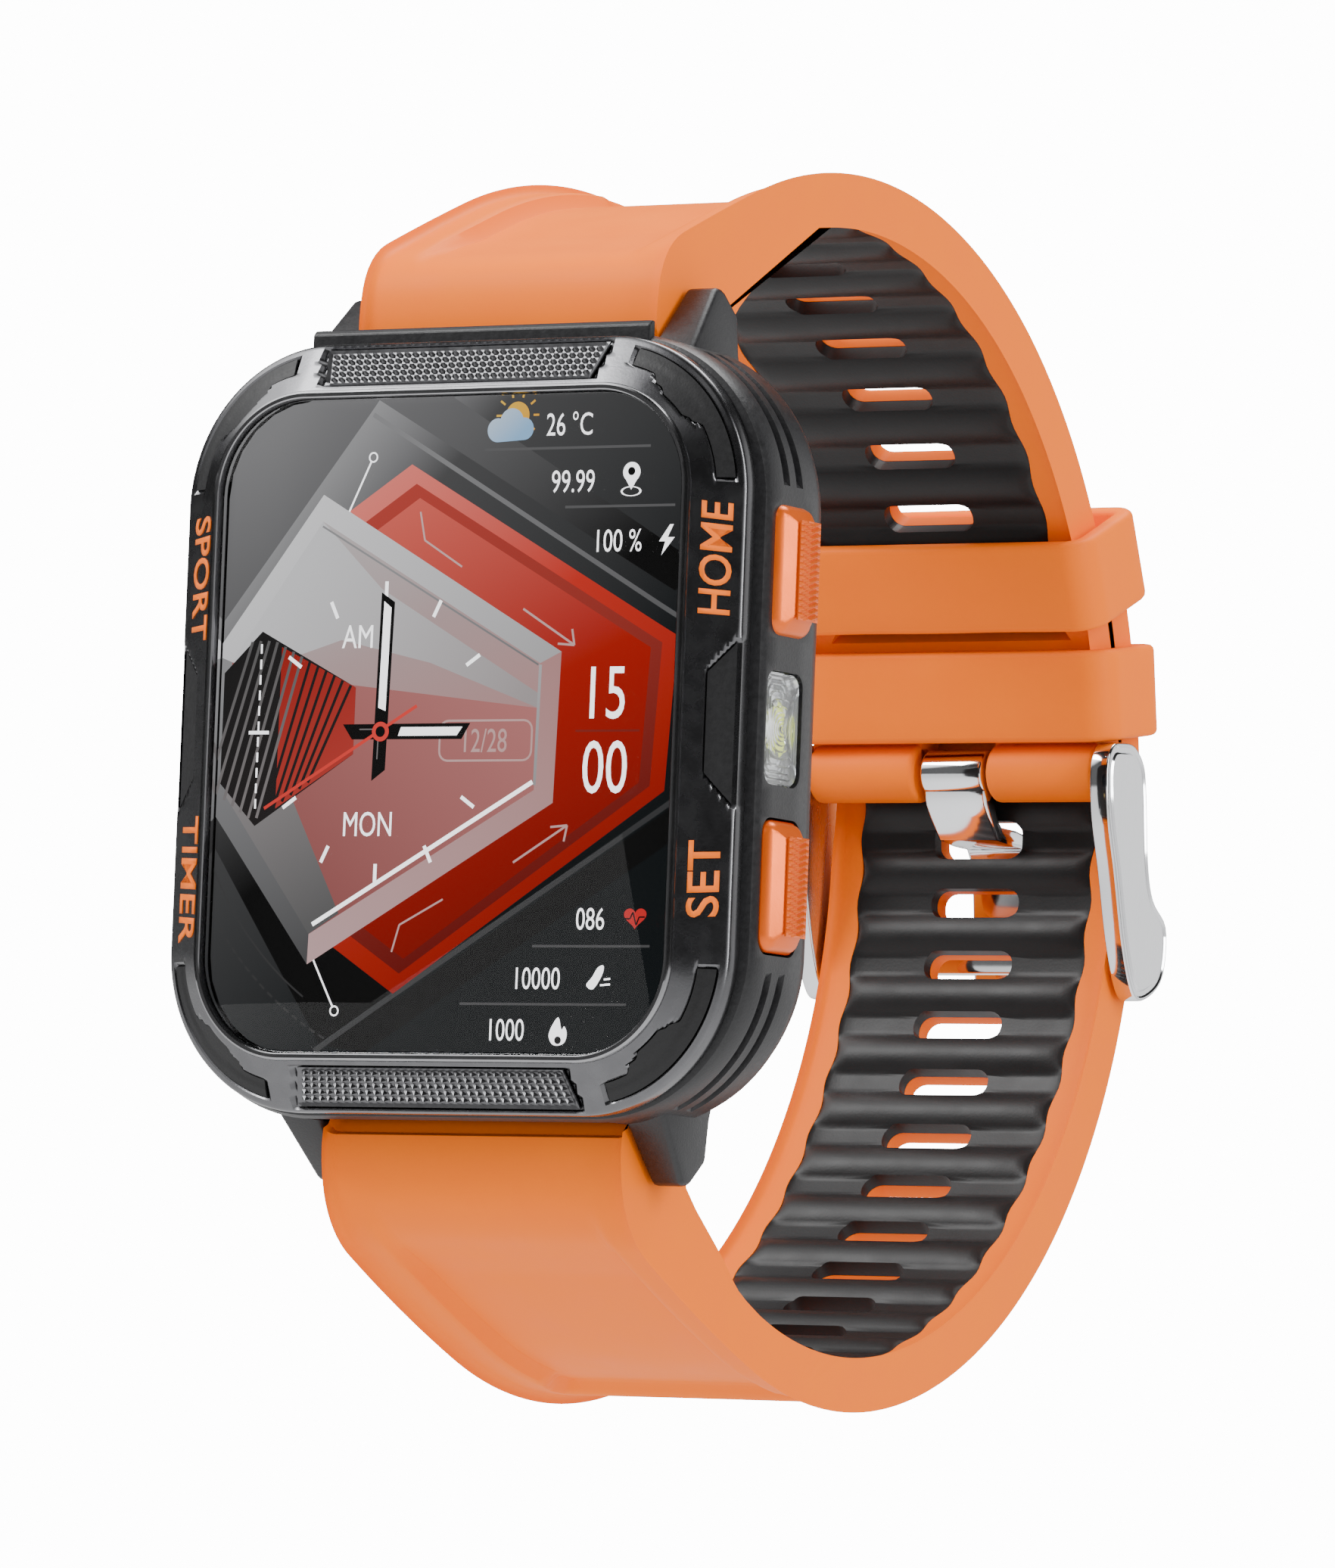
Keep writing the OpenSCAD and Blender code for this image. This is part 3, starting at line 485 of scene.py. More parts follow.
bezel = lay("bezel_ring", len(bezel_us) - 1, len(lip) + len(across) + len(skirt), bezel_rule)
bezel.data.materials.append(gunmetal)
bezel.data.materials.append(polished)
for p in bezel.data.polygons:
    y = p.center.y / MM - face_y
    if y < -0.18 and p.normal.y < -0.2:
        p.material_index = 1
smooth(bezel, 30)
done(bezel, gunmetal, "case", "bezel_metal", "bezel")

# %% [markdown]
# The inlays are thin patches of matt trim that lie in those recesses, a hair below the metal round them. The same rule
# gives their shape, and a Solidify modifier gives them a thickness into the bezel.

# %% Corner and side inlays
def patch(name, u0, u1, nu, nf, low, high, lift, thick=0.2):
    def rule(i, j):
        u = u0 + (u1 - u0) * i / nu
        a, b = low(u % 8), high(u % 8)
        f = a + (b - a) * j / nf
        return facet(u % 8, f, lift(u % 8, f) if callable(lift) else lift)

    o = facing_out(lay(name, nu, nf, rule, solid=False))
    return apply(o, "SOLIDIFY", thickness=thick * MM, offset=-1)


corners = []
for first, last in ((0.07, 0.85), (2.15, 2.93), (4.07, 4.85), (6.15, 6.93)):
    corners.append(patch("corner_inlay", first, last, 70, 8, lambda u: corner_inner(quarter(u)) + 0.02, lambda u: 0.845,
                         lambda u, f: -0.12 + 0.05 * step(f - 0.62, 0.03), 0.16))
corner_inlays = smooth(join("corner_trim", corners), 30)
done(corner_inlays, trim_black, "case", "trim_plastic", "corner_inlays")

sides = []
for middle in (7.5, 3.5):
    def side_rule(i, j, m=middle):
        f = 0.44 + 0.54 * j / 8
        half = 0.104 + 0.075 * (f - 0.4) / 0.6
        return facet(m - half + 2 * half * i / 20, f, -0.14)

    o = facing_out(lay("side_inlay", 20, 8, side_rule, solid=False))
    sides.append(apply(o, "SOLIDIFY", thickness=0.16 * MM, offset=-1))
side_inlays = smooth(join("side_trim", sides), 30)
done(side_inlays, trim_black, "case", "trim_plastic", "side_inlays")

# %% [markdown]
# The grips are knurled: rows of small pyramids. A grid with twice as many cells as pyramids, with every second
# crossing lifted, is the whole pattern in one piece, and its edge stays flat as a frame.

# %% Knurled grips
for top in (True, False):
    rows, cols = 5, 34

    def grip_rule(i, j, top=top):
        f = 0.14 + 0.79 * j / (2 * rows + 2)
        half = 0.505 - 0.06 * (1 - f)
        u = (1.5 if top else 5.5) - half + 2 * half * i / (2 * cols + 2)
        inside = 0 < i < 2 * cols + 2 and 0 < j < 2 * rows + 2
        peak = inside and i % 2 == 0 and j % 2 == 0
        return facet(u, f, 0.06 if peak else (-0.2 if inside else -0.1))

    o = facing_out(lay("grip", 2 * cols + 2, 2 * rows + 2, grip_rule, solid=False))
    apply(o, "SOLIDIFY", thickness=0.1 * MM, offset=-1)
    o.name = o.data.name = "knurled_grip_top" if top else "knurled_grip_bottom"
    done(o, knurled, "case", "bezel_metal", "grip_insert_top" if top else "grip_insert_bottom")

# %% [markdown]
# The button labels are plain words in a wide face. Each is written with the text tool, made a mesh, and then every
# vertex is moved from the flat page onto the facet by the same rule, so the letters follow its slope.

# %% Labels on the facet
def written(text, size, bold=0.0):
    clear_selection()
    bpy.ops.object.text_add(location=(0, 0, 0))
    t = bpy.context.object
    t.data.body = text
    t.data.size = size
    t.data.align_x = "CENTER"
    t.data.align_y = "CENTER"
    t.data.offset = bold
    t.data.resolution_u = 4
    t.data.extrude = 0.0
    bpy.ops.object.convert(target="MESH")
    return bpy.context.object


labels = []
for text, side, z_from, z_to in (("HOME", 1, 6.6, 13.5), ("SET", 1, -11.9, -7.2), ("SPORT", -1, 13.2, 5.4), ("TIMER", -1, -5.6, -13.6)):
    o = written(text, 2.0, 0.03)
    xs = [v.co.x for v in o.data.vertices]
    ys = [v.co.y for v in o.data.vertices]
    x0, x1, y0, y1 = min(xs), max(xs), min(ys), max(ys)
    for v in o.data.vertices:
        z = z_from + (z_to - z_from) * (v.co.x - x0) / (x1 - x0)
        s = (v.co.y - y0) / (y1 - y0)
        f = (0.2 if side > 0 else 0.08) + 0.62 * (1 - s)
        p = facet(on_side(z), f, 0.05)
        v.co = Vector((side * p.x, p.y, p.z))
    facing_out(tidy(o, 1e-6, outwards=False))
    apply(o, "SOLIDIFY", thickness=0.06 * MM, offset=-1)
    labels.append(o)
done(join("button_labels", labels), label_paint, "case", "bezel_metal")

# %% [markdown]
# ## The case
# The case is a moulded ring with a wall all round: its section runs down the outside, under the back cover's seat, and
# up the inside of the cavity. The corners carry two parallel grooves, which fade out before the buttons and the lugs,
# so their depth is a rule over the same `u`.

# %% Lay the case wall
outer = (42.6, 49.2, 10.8)


def shrunk(k, base=outer):
    return (base[0] - 2 * k, base[1] - 2 * k, base[2] - k)


wall = [(*shrunk(0.55), 2.72, 0), (*shrunk(0.2), 2.9, 0), (*outer, 3.35, 0)]
for d in (4.85, 6.45):
    wall += [(*outer, d, 0), (*outer, d + 0.12, 0.42), (*outer, d + 0.66, 0.42), (*outer, d + 0.8, 0)]
wall += [(*outer, 8.9, 0), (*shrunk(0.25), 9.7, 0), (*shrunk(0.8), 10.8, 0), (*shrunk(1.45), 12.0, 0), (*shrunk(1.75), 12.42, 0),
         (*shrunk(2.1), 12.6, 0), (37.0, 42.2, 6.0, 12.6, 0), (37.0, 42.2, 6.0, 11.4, 0), (35.0, 40.0, 5.0, 11.4, 0),
         (35.0, 40.0, 5.0, 10.5, 0),
         (38.6, 41.8, 5.0, 10.5, 0), (38.6, 41.8, 5.0, 3.9, 0), (31.4, 38.7, 5.0, 3.9, 0), (31.4, 38.7, 5.0, 2.72, 0)]
case_us = stops(26, 20, 12)


def case_rule(i, j):
    u = case_us[i] if i < len(case_us) - 1 else 0.0
    w, h, r, d, g = wall[j % len(wall)]
    q = quarter(u)
    g *= step(q - 0.6, 0.03) * step(1.2 - q, 0.03)
    p = around(u, w - 2 * g, h - 2 * g, r - g)
    return place(p.x, d, p.y)


case = lay("case_wall", len(case_us) - 1, len(wall), case_rule)

# %% [markdown]
# The wall is then cut: a pocket at each end for the strap heads, two button wells with stem holes, the lamp's window,
# and small ports for the speaker and microphone. Cutters are joined, so one Boolean does the work.

# %% Cut the wells, window and ports
cutters = []
pocket = [(3.4, 27.0), (3.4, 24.35), (3.7, 23.75), (4.4, 23.3), (5.2, 23.05), (6.2, 22.9), (15.8, 22.9), (15.8, 34.0), (3.4, 34.0)]
for s in (1, -1):
    cutters.append(tidy(plate("pocket", [(d, s * z) for d, z in pocket], -11.25, 22.5, "side")))
for z in (-9.8, 9.8):
    o = rounded_box("well", (3.7, 4.7, 8.5), 1.0, 0)
    o.location = place(21.47, 6.0, z)
    cutters.append(settle(o))
    clear_selection()
    bpy.ops.mesh.primitive_cylinder_add(vertices=24, radius=1.05 * MM, depth=4 * MM, location=place(20.0, 6.0, z),
                                        rotation=(0, math.pi / 2, 0))
    cutters.append(settle(bpy.context.object))
o = rounded_box("window", (4.0, 4.4, 7.1), 0.9, 0)
o.location = place(20.6, 5.8, 0)
cutters.append(settle(o))
for z, r in ((-8, 0.4), (-6.4, 0.4), (-4.8, 0.4), (8, 0.35)):
    clear_selection()
    bpy.ops.mesh.primitive_cylinder_add(vertices=20, radius=r * MM, depth=4 * MM, location=place(-20.5, 6.6, z),
                                        rotation=(0, math.pi / 2, 0))
    cutters.append(settle(bpy.context.object))
cut(case, join("cutters", cutters))
smooth(case, 32)
done(case, case_black, "case", "case_plastic", "mid_case")

# %% [markdown]
# Each lug is a thick ear beside the strap head. It is one plate from its side profile, splayed towards the case, with
# softened edges, and its own copy stands in each of the four corners. A thin bar crosses between the two upper lugs.

# %% Lugs
bar_d, bar_z = 8.8, 26.0
lug_profile = [(-4.4, -3.6), (-4.2, -2.4), (0.0, 2.0), (0.3, 2.2), (0.9, 2.2), (1.3, 2.0), (2.6, 0.6), (2.1, -2.0), (2.0, -3.6)]


def lug(name, sx, sz):
    o = plate(name, [(bar_d + d, bar_z + z) for d, z in lug_profile], 11.25, 2.1, "side")
    for v in o.data.vertices:
        if v.co.x > 12 * MM:
            z = v.co.z / MM
            v.co.x = MM * (13.35 + (28.6 - z) * (0.8 / 4.4) if z > 24.2 else 14.15 + (24.2 - z) * 0.23)
    apply(o, "BEVEL", width=0.32 * MM, segments=3, limit_method="ANGLE", angle_limit=math.radians(25))
    for v in o.data.vertices:
        v.co.x *= sx
        v.co.z *= sz
    return smooth(tidy(o), 40)


lugs = [lug("lug", sx, sz) for sx in (1, -1) for sz in (1, -1)]
front_bar = plate("front_bar", [(2.72, 21.6), (2.72, 25.1), (3.0, 25.4), (3.4, 25.4), (3.4, 21.6)], -12.4, 24.8, "side", bevel=0.1)
done(join("lugs", [*lugs, front_bar]), case_black, "case", "case_plastic")

# %% [markdown]
# ## Buttons
# A button is a rounded bar with a chamfered crown. The crown carries fine ribs, bent into small chevrons, for grip.
# The body is a rounded box whose outer end is drawn in, and the ribs are a grid laid on its face.

# %% Buttons
def button(name, body, z0, node):
    o = rounded_box(name, (1.7, 4.4, 8.2), 1.0, 0, 5)
    for v in o.data.vertices:
        v.co.x += 21.15 * MM
    only(o)
    bpy.ops.object.mode_set(mode="EDIT")
    bpy.ops.mesh.select_all(action="DESELECT")
    bpy.ops.object.mode_set(mode="OBJECT")
    for p in o.data.polygons:
        p.select = p.normal.x > 0.9
    bpy.ops.object.mode_set(mode="EDIT")
    bpy.ops.mesh.select_mode(type="FACE")
    bpy.ops.mesh.extrude_region_move(TRANSFORM_OT_translate={"value": (0.55 * MM, 0, 0)})
    bpy.ops.transform.resize(value=(1, 0.68, 0.84), center_override=(22.55 * MM, 0, 0))
    bpy.ops.mesh.inset(thickness=0.18 * MM)
    bpy.ops.transform.translate(value=(-0.1 * MM, 0, 0))
    bpy.ops.mesh.select_mode(type="VERT")
    bpy.ops.object.mode_set(mode="OBJECT")
    apply(o, "BEVEL", width=0.14 * MM, segments=2, limit_method="ANGLE", angle_limit=math.radians(35))
    for v in o.data.vertices:
        v.co += place(0, 6.0, z0)

    def rib_rule(i, j):
        y = -1.22 + 2.44 * j / 8
        z = -3.1 + 6.2 * i / 64
        w = (i + (8 - abs(j - 4) * 2) * 0.5) % 4
        edge = i in (0, 64) or j in (0, 8)
        return place(22.62 + (0 if edge else 0.16 * (1, 0.9, 0.1, 0.0)[int(w)]), 6.0 + y, z0 + z)

    ribs = facing_out(lay(name + "_ribs", 64, 8, rib_rule, solid=False), axis=0, sign=1)
    apply(ribs, "SOLIDIFY", thickness=0.12 * MM, offset=-1)
    clear_selection()
    bpy.ops.mesh.primitive_cylinder_add(vertices=24, radius=1.0 * MM, depth=2.5 * MM, location=place(19.75, 6.0, z0),
                                        rotation=(0, math.pi / 2, 0))
    stem = settle(bpy.context.object)
    bpy.ops.mesh.primitive_cylinder_add(vertices=24, radius=1.6 * MM, depth=0.4 * MM, location=place(18.65, 6.0, z0),
                                        rotation=(0, math.pi / 2, 0))
    clip = settle(bpy.context.object)
    smooth(o, 40)
    return done(join(name, [o, ribs, stem, clip]), button_paint, body, "button_orange", node)


button("crown_button_upper", "upper_button", 9.8, "upper_button")
button("crown_button_lower", "lower_button", -9.8, "lower_button")

# %% [markdown]
# ## Lamp
# Between the buttons a small torch sits behind a ringed lens. The rings are Fresnel steps: circles in the middle that
# grow into the window's rounded rectangle. A polar grid gives them, with every ring a small ramp.

# %% Ringed lens
def lens_rule(i, j):
    n, m = 96, 40
    if j > m:
        p = around(8 * (i % n) / n, 4.28, 6.98, 0.84)
        return place(20.45, 5.8 + p.x, p.y)
    s = j / m
    u = 8 * (i % n) / n
    rect = around(u, 4.28 * s + 1e-4, 6.98 * s + 1e-4, 0.84 * s + 1e-5)
    a = math.atan2(rect.y, rect.x)
    circle = Vector((math.cos(a), math.sin(a))) * 2.6 * s
    k = step(s - 0.55, 0.5)
    p = circle.lerp(rect, k)
    lift = 0.0 if j == m else 0.2 * (1 - s) + 0.1 * (j % 4) / 3
    return place(21.0 + lift * 0.9, 5.8 + p.x, p.y)


lens = lay("ringed_lens", 96, 41, lens_rule, caps=True)
smooth(lens, 20)
done(lens, clear, "case", "lens", "led_lens")
spot = plate("lamp_spot", rounded([(4.7, -1.15), (6.9, -1.15), (6.9, 1.15), (4.7, 1.15)], 5), 20.3, 0.1, "side")
done(spot, lamp, "case", "lens")

# %% [markdown]
# ## Front glass and display
# The cover glass is a clear plate with a fine polished chamfer. It seals on a gasket. Behind it lies the display, whose
# picture is built as thin layers a few hundredths of a millimetre apart, so that it can be seen through the glass.

# %% Glass and display plate
def slabbed(name, sections, us):
    def rule(i, j):
        w, h, r, d = sections[j]
        p = around(us[i] if i < len(us) - 1 else 0.0, w, h, r)
        return place(p.x, d, p.y)

    return lay(name, len(us) - 1, len(sections) - 1, rule, caps=True)


plain_us = stops(14, 2, 2)
glass = slabbed("cover_glass", [(33.8, 41.2, 6.1, 0.76), (33.8, 41.2, 6.1, 0.14), (33.7, 41.1, 6.05, 0.04), (33.48, 40.88, 5.94, 0.0)],
                plain_us)
smooth(glass, 25)
done(glass, cover, "case", "cover_glass", "front_glass")
panel = slabbed("display_plate", [(31.4, 38.7, 4.9, 1.4), (31.4, 38.7, 4.9, 2.6), (27.5, 32.8, 2.0, 2.62), (27.5, 32.8, 2.0, 3.2)],
                plain_us)
done(panel, dark_window, "case", "display", "display_panel")

# %% [markdown]
# ## The strap
# Each strap half follows a chain of arcs. `Chain` keeps the outer line: a start, a heading, and pairs of length and
# turn. `at(s)` gives the point and heading after a travelled length, and `inset` moves a point towards the wrist.

# %% The line of a strap
class Chain:
    def __init__(self, start, heading, arcs, side):
        self.side = side
        self.points = [(0.0, start[0], start[1], heading)]
        s, d, z, h = self.points[0]
        for length, turn in arcs:
            n = 60
            for i in range(n):
                a = math.radians(h + turn / n / 2)
                d += length / n * math.cos(a)
                z += length / n * math.sin(a)
                h += turn / n
                s += length / n
                self.points.append((s, d, z, h))
        self.length = s

    def at(self, s):
        pts = self.points
        lo, hi = 0, len(pts) - 1
        while hi - lo > 1:
            mid = (lo + hi) // 2
            lo, hi = (mid, hi) if pts[mid][0] <= s else (lo, mid)
        a, b = pts[lo], pts[hi]
        f = (s - a[0]) / (b[0] - a[0])
        return tuple(p + f * (q - p) for p, q in zip(a[1:], b[1:]))

    def inset(self, s, t):
        d, z, h = self.at(s)
        a = math.radians(h)
        return d + self.side * t * math.sin(a), z - self.side * t * math.cos(a)


upper = Chain((6.5, 25.4), 92, [(2.8, -12), (3.9, -56), (9.9, -2), (12.8, -19), (28.3, -45), (29.3, -43)], 1)
lower = Chain((6.1, -25.4), -92, [(2.6, 12), (5.6, 52), (14.4, 6), (18.1, 31), (26.6, 41), (29.1, 42), (22.0, 27.4)], -1)
print("strap halves:", round(upper.length, 1), round(lower.length, 1), "mm along the outside")

# %% [markdown]
# The side outline of a half is its outer line, its inner line, and the head that wraps the spring bar. Laid across the
# width, the outline is drawn in a little at both edges, which rounds them. On the outside a raised panel swells from the
# head and ends in a stepped ridge; on the inside a channel with a wavy border takes the charcoal lining.

# %% Outline of a strap half
strap_t, tail_t, head_r = 2.3, 1.7, 2.3
upper_back = [(14.0, 7.1), (9.3, 4.3), (6.1, 1.5), (6.3, -0.4), (3.2, -1.9)]
lower_back = [(11.6, 8.8), (9.3, 6.7), (4.4, 2.5), (4.2, -0.2), (3.0, -1.9)]


def through(points, n=4):
    out, m = [], len(points)
    for i in range(m - 1):
        a, b, c, d = (Vector(points[min(m - 1, max(0, i + k))]) for k in (-1, 0, 1, 2))
        for j in range(n):
            t = j / n
            out.append(tuple(0.5 * (2 * b + (c - a) * t + (2 * a - 5 * b + 4 * c - d) * t * t + (3 * b - a - 3 * c + d) * t ** 3)))
    return out + [tuple(points[-1])]


def thickness(chain, s):
    if chain.side > 0:
        return strap_t
    return strap_t - (strap_t - tail_t) * step(s - 96.5, 6)


def outline(chain, inner_from, back):
    side, L = chain.side, chain.length
    marks = [s for s in (0.6 * k for k in range(int(L / 0.6) + 1)) if s < L - 0.3]
    marks = sorted(set(marks + [30 + 0.2 * k for k in range(30)])) + [L]
    pts = [("outer", s, *chain.at(s)[:2]) for s in marks]
    inner = [s for s in marks if s > inner_from]
    if side < 0:
        # a rounded end of the tail
        d, z = chain.inset(L, tail_t / 2)
        a = math.radians(chain.at(L)[2])
        pts.append(("tip", L, d + 0.4 * math.cos(a), z + 0.4 * math.sin(a)))
    pts += [("inner", s, *chain.inset(s, thickness(chain, s))) for s in reversed(inner)]
    head = [chain.inset(inner_from, strap_t)] + [(bar_d + q[0], side * (bar_z + q[1])) for q in back]
    head += [(bar_d + head_r * math.cos(math.radians(a)), side * (bar_z + head_r * math.sin(math.radians(a))))
             for a in range(-55, -175, -15)]
    pts += [("head", 0.0, d, z) for d, z in through(head, 3)]
    return pts


def panel_height(s, x):
    # raised panel on the outside; its border is a bevelled shoulder
    up = min(1.0, max(0.0, (s - 4.5) / 8.5)) ** 0.8
    down = 1 - step(s - 34.2, 1.6)
    half = 8.5 + 0.7 * step(s - 31, 3)
    return 1.0 * up * down * step(half - abs(x) - 0.35, 0.9)


def strap_core(name, chain, inner_from, back, channel, first, pitch):
    pts = outline(chain, inner_from, back)
    n = len(pts)
    flat = [Vector((p[2], p[3])) for p in pts]
    normals = []
    for i in range(n):
        t = flat[(i + 1) % n] - flat[i - 1]
        normals.append(Vector((t.y, -t.x)).normalized() * chain.side * -1)
    edge = 0.62
    xs = []
    for a in (90, 67.5, 45, 22.5, 0):
        t = math.radians(a)
        xs.append((11 - edge + edge * math.sin(t), edge * (1 - math.cos(t)), None))
    xs += [(9.9, 0, None), (9.3, 0, "out"), (9.28, 0, "in"), (9.0, 0, None), (8.7, 0, None), (8.4, 0, None), (8.1, 0, None),
           (7.7, 0, None), (7.3, 0, None), (5, 0, None), (2.5, 0, None)]
    row = [(-x, e, tag) for x, e, tag in xs] + [(0, 0, None)] + xs[::-1]

    def rule(i, j):
        kind, s, d, z = pts[i % n]
        x, e, tag = row[j]
        nrm = normals[i % n]
        p = Vector((d, z)) - nrm * -e
        if s > chain.length - 6 and chain.side < 0 and kind != "head":
            k = (s - chain.length + 6) / 6
            x *= 1 - 0.42 * k ** 2.6
        if kind == "outer" and 4.5 < s < 36:
            h = panel_height(s, x)
            p = p - nrm * h
        if kind == "inner" and channel[0] < s < channel[1]:
            border = 8.95 + 0.15 * math.cos(2 * math.pi * (s - first) / pitch)
            if tag:
                x = math.copysign(border + (0.015 if tag == "out" else -0.015), x)
            if tag == "in" or (tag is None and abs(x) < 9.1):
                x = max(-border + 0.015, min(border - 0.015, x))
                p = Vector(chain.inset(s, strap_t - 0.9 - 0.25))
        return place(x, p.x, p.y)

    return lay(name, n, len(row) - 1, rule, caps=True)


def slot_cutters(chain, places, height):
    out = []
    for s in places:
        d, z, h = chain.at(s)
        o = rounded_box("slot", (6.8, 8.4, height), 0.9, 1, 5)
        o.rotation_euler = (math.radians(h - 90), 0, 0)
        o.location = place(0, d, z)
        out.append(settle(o))
    return out


# %% [markdown]
# The lining has a rib between every two slots. Its grid runs along the strap and across it: flat bands where the slots
# are, a smooth swell between them that dies away at the border.

# %% Ribbed lining
def rib(x):
    f = x - math.floor(x)
    return 0.0 if f < 0.17 or f > 0.83 else math.sin(math.pi * (f - 0.17) / 0.66) ** 0.8


def lining(name, chain, a, b, first, pitch):
    m = round((b - a) / pitch * 16)
    across = [-1, -0.985, -0.96, -0.93, -0.88, -0.6, -0.3, 0, 0.3, 0.6, 0.88, 0.93, 0.96, 0.985, 1]
    n = len(across) + 2

    def rule(i, j):
        s = a + (b - a) * i / m
        border = 8.95 + 0.15 * math.cos(2 * math.pi * (s - first) / pitch) - 0.02
        k = j % n
        if k < len(across):
            c = across[k]
            fade = min(1.0, (1 - abs(c)) / 0.12) ** 0.5
            t = strap_t - 0.25 + 0.02 + (0.2 * (1 - fade)) + 0.55 * rib((s - first) / pitch) * fade
            x = c * border
        else:
            x = border if k == len(across) else -border
            t = strap_t - 0.9 - 0.21
        d, z = chain.inset(s, t)
        return place(x, d, z)

    return lay(name, m, n, rule, caps=True)


# %% [markdown]
# With those rules both halves can be made. The slots are cut through shell and lining with the same row of rounded
# boxes, so they line up. A shell is cut one box at a time by the manifold solver, and its lining once by the joined
# boxes. The upper half ends in two barrels round the buckle's pin, with a gap for the prong.

# %% Upper half
up_pitch, lo_pitch = 5.15, 4.6
up_slots = [31.9 + k * up_pitch for k in range(8)]
prong_s = 95.6
lo_slots = [prong_s - (13 - k) * lo_pitch for k in range(13)]
pin = upper.inset(upper.length, 2.04)


def rod(name, r, x0, x1, d, z, bevel=0.0, vertices=48):
    clear_selection()
    bpy.ops.mesh.primitive_cylinder_add(vertices=vertices, radius=r * MM, depth=(x1 - x0) * MM, location=place((x0 + x1) / 2, d, z),
                                        rotation=(0, math.pi / 2, 0))
    o = settle(bpy.context.object)
    o.name = o.data.name = name
    if bevel:
        apply(o, "BEVEL", width=bevel * MM, segments=3, limit_method="ANGLE", angle_limit=math.radians(40))
    return smooth(o, 35)


shell = strap_core("strap_shell_upper", upper, 23.9, upper_back, (24.0, 77.0), up_slots[0], up_pitch)
gap = rounded_box("gap", (5.8, 10, 7.2), 0.3, 0, 2)
gap.location = place(0, pin[0], pin[1] - 1.4)
bore = rod("bore", 0.8, -13, 13, bar_d, bar_z)
for one in slot_cutters(upper, up_slots, 2.0) + [settle(gap), bore]:
    cut(shell, one, solver="MANIFOLD")
barrels = [rod("barrel", 2.0, 2.9, 11.0, *pin, 0.3), rod("barrel", 2.0, -11.0, -2.9, *pin, 0.3)]
smooth(shell, 32)
shell = join("strap_shell_upper", [shell, *barrels])
done(shell, silicone, "strap_upper", "strap_orange", "strap_upper_shell")

liner = lining("strap_lining_upper", upper, 24.1, 76.2, up_slots[0], up_pitch)
cut(liner, join("cutters", slot_cutters(upper, up_slots, 2.0)))
done(smooth(liner, 40), silicone_dark, "strap_upper", "strap_grey", "strap_upper_liner")

# %% [markdown]
# The lower half is made the same way. It is the longer one and thins towards the rounded tail. One of its slots is
# opened a little further along the strap, because the prong dips through it.

# %% Lower half
shell = strap_core("strap_shell_lower", lower, 22.6, lower_back, (27.0, 101.0), lo_slots[0], lo_pitch)
bore = rod("bore", 0.8, -13, 13, bar_d, -bar_z)
for one in slot_cutters(lower, lo_slots, 2.0) + slot_cutters(lower, [prong_s], 2.6) + [bore]:
    cut(shell, one, solver="MANIFOLD")
done(smooth(shell, 32), silicone, "strap_lower", "strap_orange", "strap_lower_shell")
liner = lining("strap_lining_lower", lower, 27.1, 99.8, lo_slots[0], lo_pitch)
cut(liner, join("cutters", slot_cutters(lower, lo_slots, 2.0) + slot_cutters(lower, [prong_s], 2.6)))
done(smooth(liner, 40), silicone_dark, "strap_lower", "strap_grey", "strap_lower_liner")

# %% [markdown]
# ## Keepers
# A keeper is a flat loop of the same silicone. Its section, a small rounded rectangle, is swept round a larger one, and
# its long faces are a little hollow near the ends.

# %% Keepers
def keeper(name, body, d0, z0, tilt, gap_h, node, length=6.2, wall_t=1.3):
    section = [(0, -1, 0.35), (0, 1, 0.35), (1, 1, 0.42), (1, -1, 0.42)]
    ring_pts = []
    for k, (t, l, r) in enumerate(section):
        cx, cy = (wall_t - r if t else r), l * (length / 2 - r)
        start = (270, 180, 90, 0)[k]
        order = [start, start - 30, start - 60, start - 90]
        ring_pts += [(cx + r * math.cos(math.radians(a)), cy + r * math.sin(math.radians(a))) for a in order]
        if k == 0:
            ring_pts.append((0.0, 0.0))
        if k == 2:
            ring_pts += [(wall_t, 1.2), (wall_t, -1.2)]
    us = stops(10, 10, 44)
    c, s = math.cos(math.radians(tilt)), math.sin(math.radians(tilt))

    def rule(i, j):
        t, l = ring_pts[j % len(ring_pts)]
        u = us[i] if i < len(us) - 1 else 0.0
        p = around(u, 22.7 + 2 * t, gap_h + 2 * t, 0.7 + t)
        if abs(p.x) < 10.5 and t > 0.6:
            p.y -= math.copysign(0.1 * (1 - math.cos(2 * math.pi * (p.x + 10.5) / 10.5)) / 2, p.y)
        return place(p.x, d0 + p.y * c - l * s, z0 + p.y * s + l * c)

    o = lay(name, len(us) - 1, len(ring_pts), rule)
    return done(smooth(o, 40), silicone, body, "strap_orange", node)


keeper("keeper_loop_upper", "keeper_upper", 65.5, 16.4, 24, 6.35, "keeper_upper")
keeper("keeper_loop_lower", "keeper_lower", 68.5, 8.3, 9, 6.0, "keeper_lower")

# %% [markdown]
# ## Buckle
# The frame has two side plates of a long drop shape and a cross-bar behind the tail. The plates are cut from a smooth
# outline, given a satin face with fine stepped borders, and their rims are left bright.

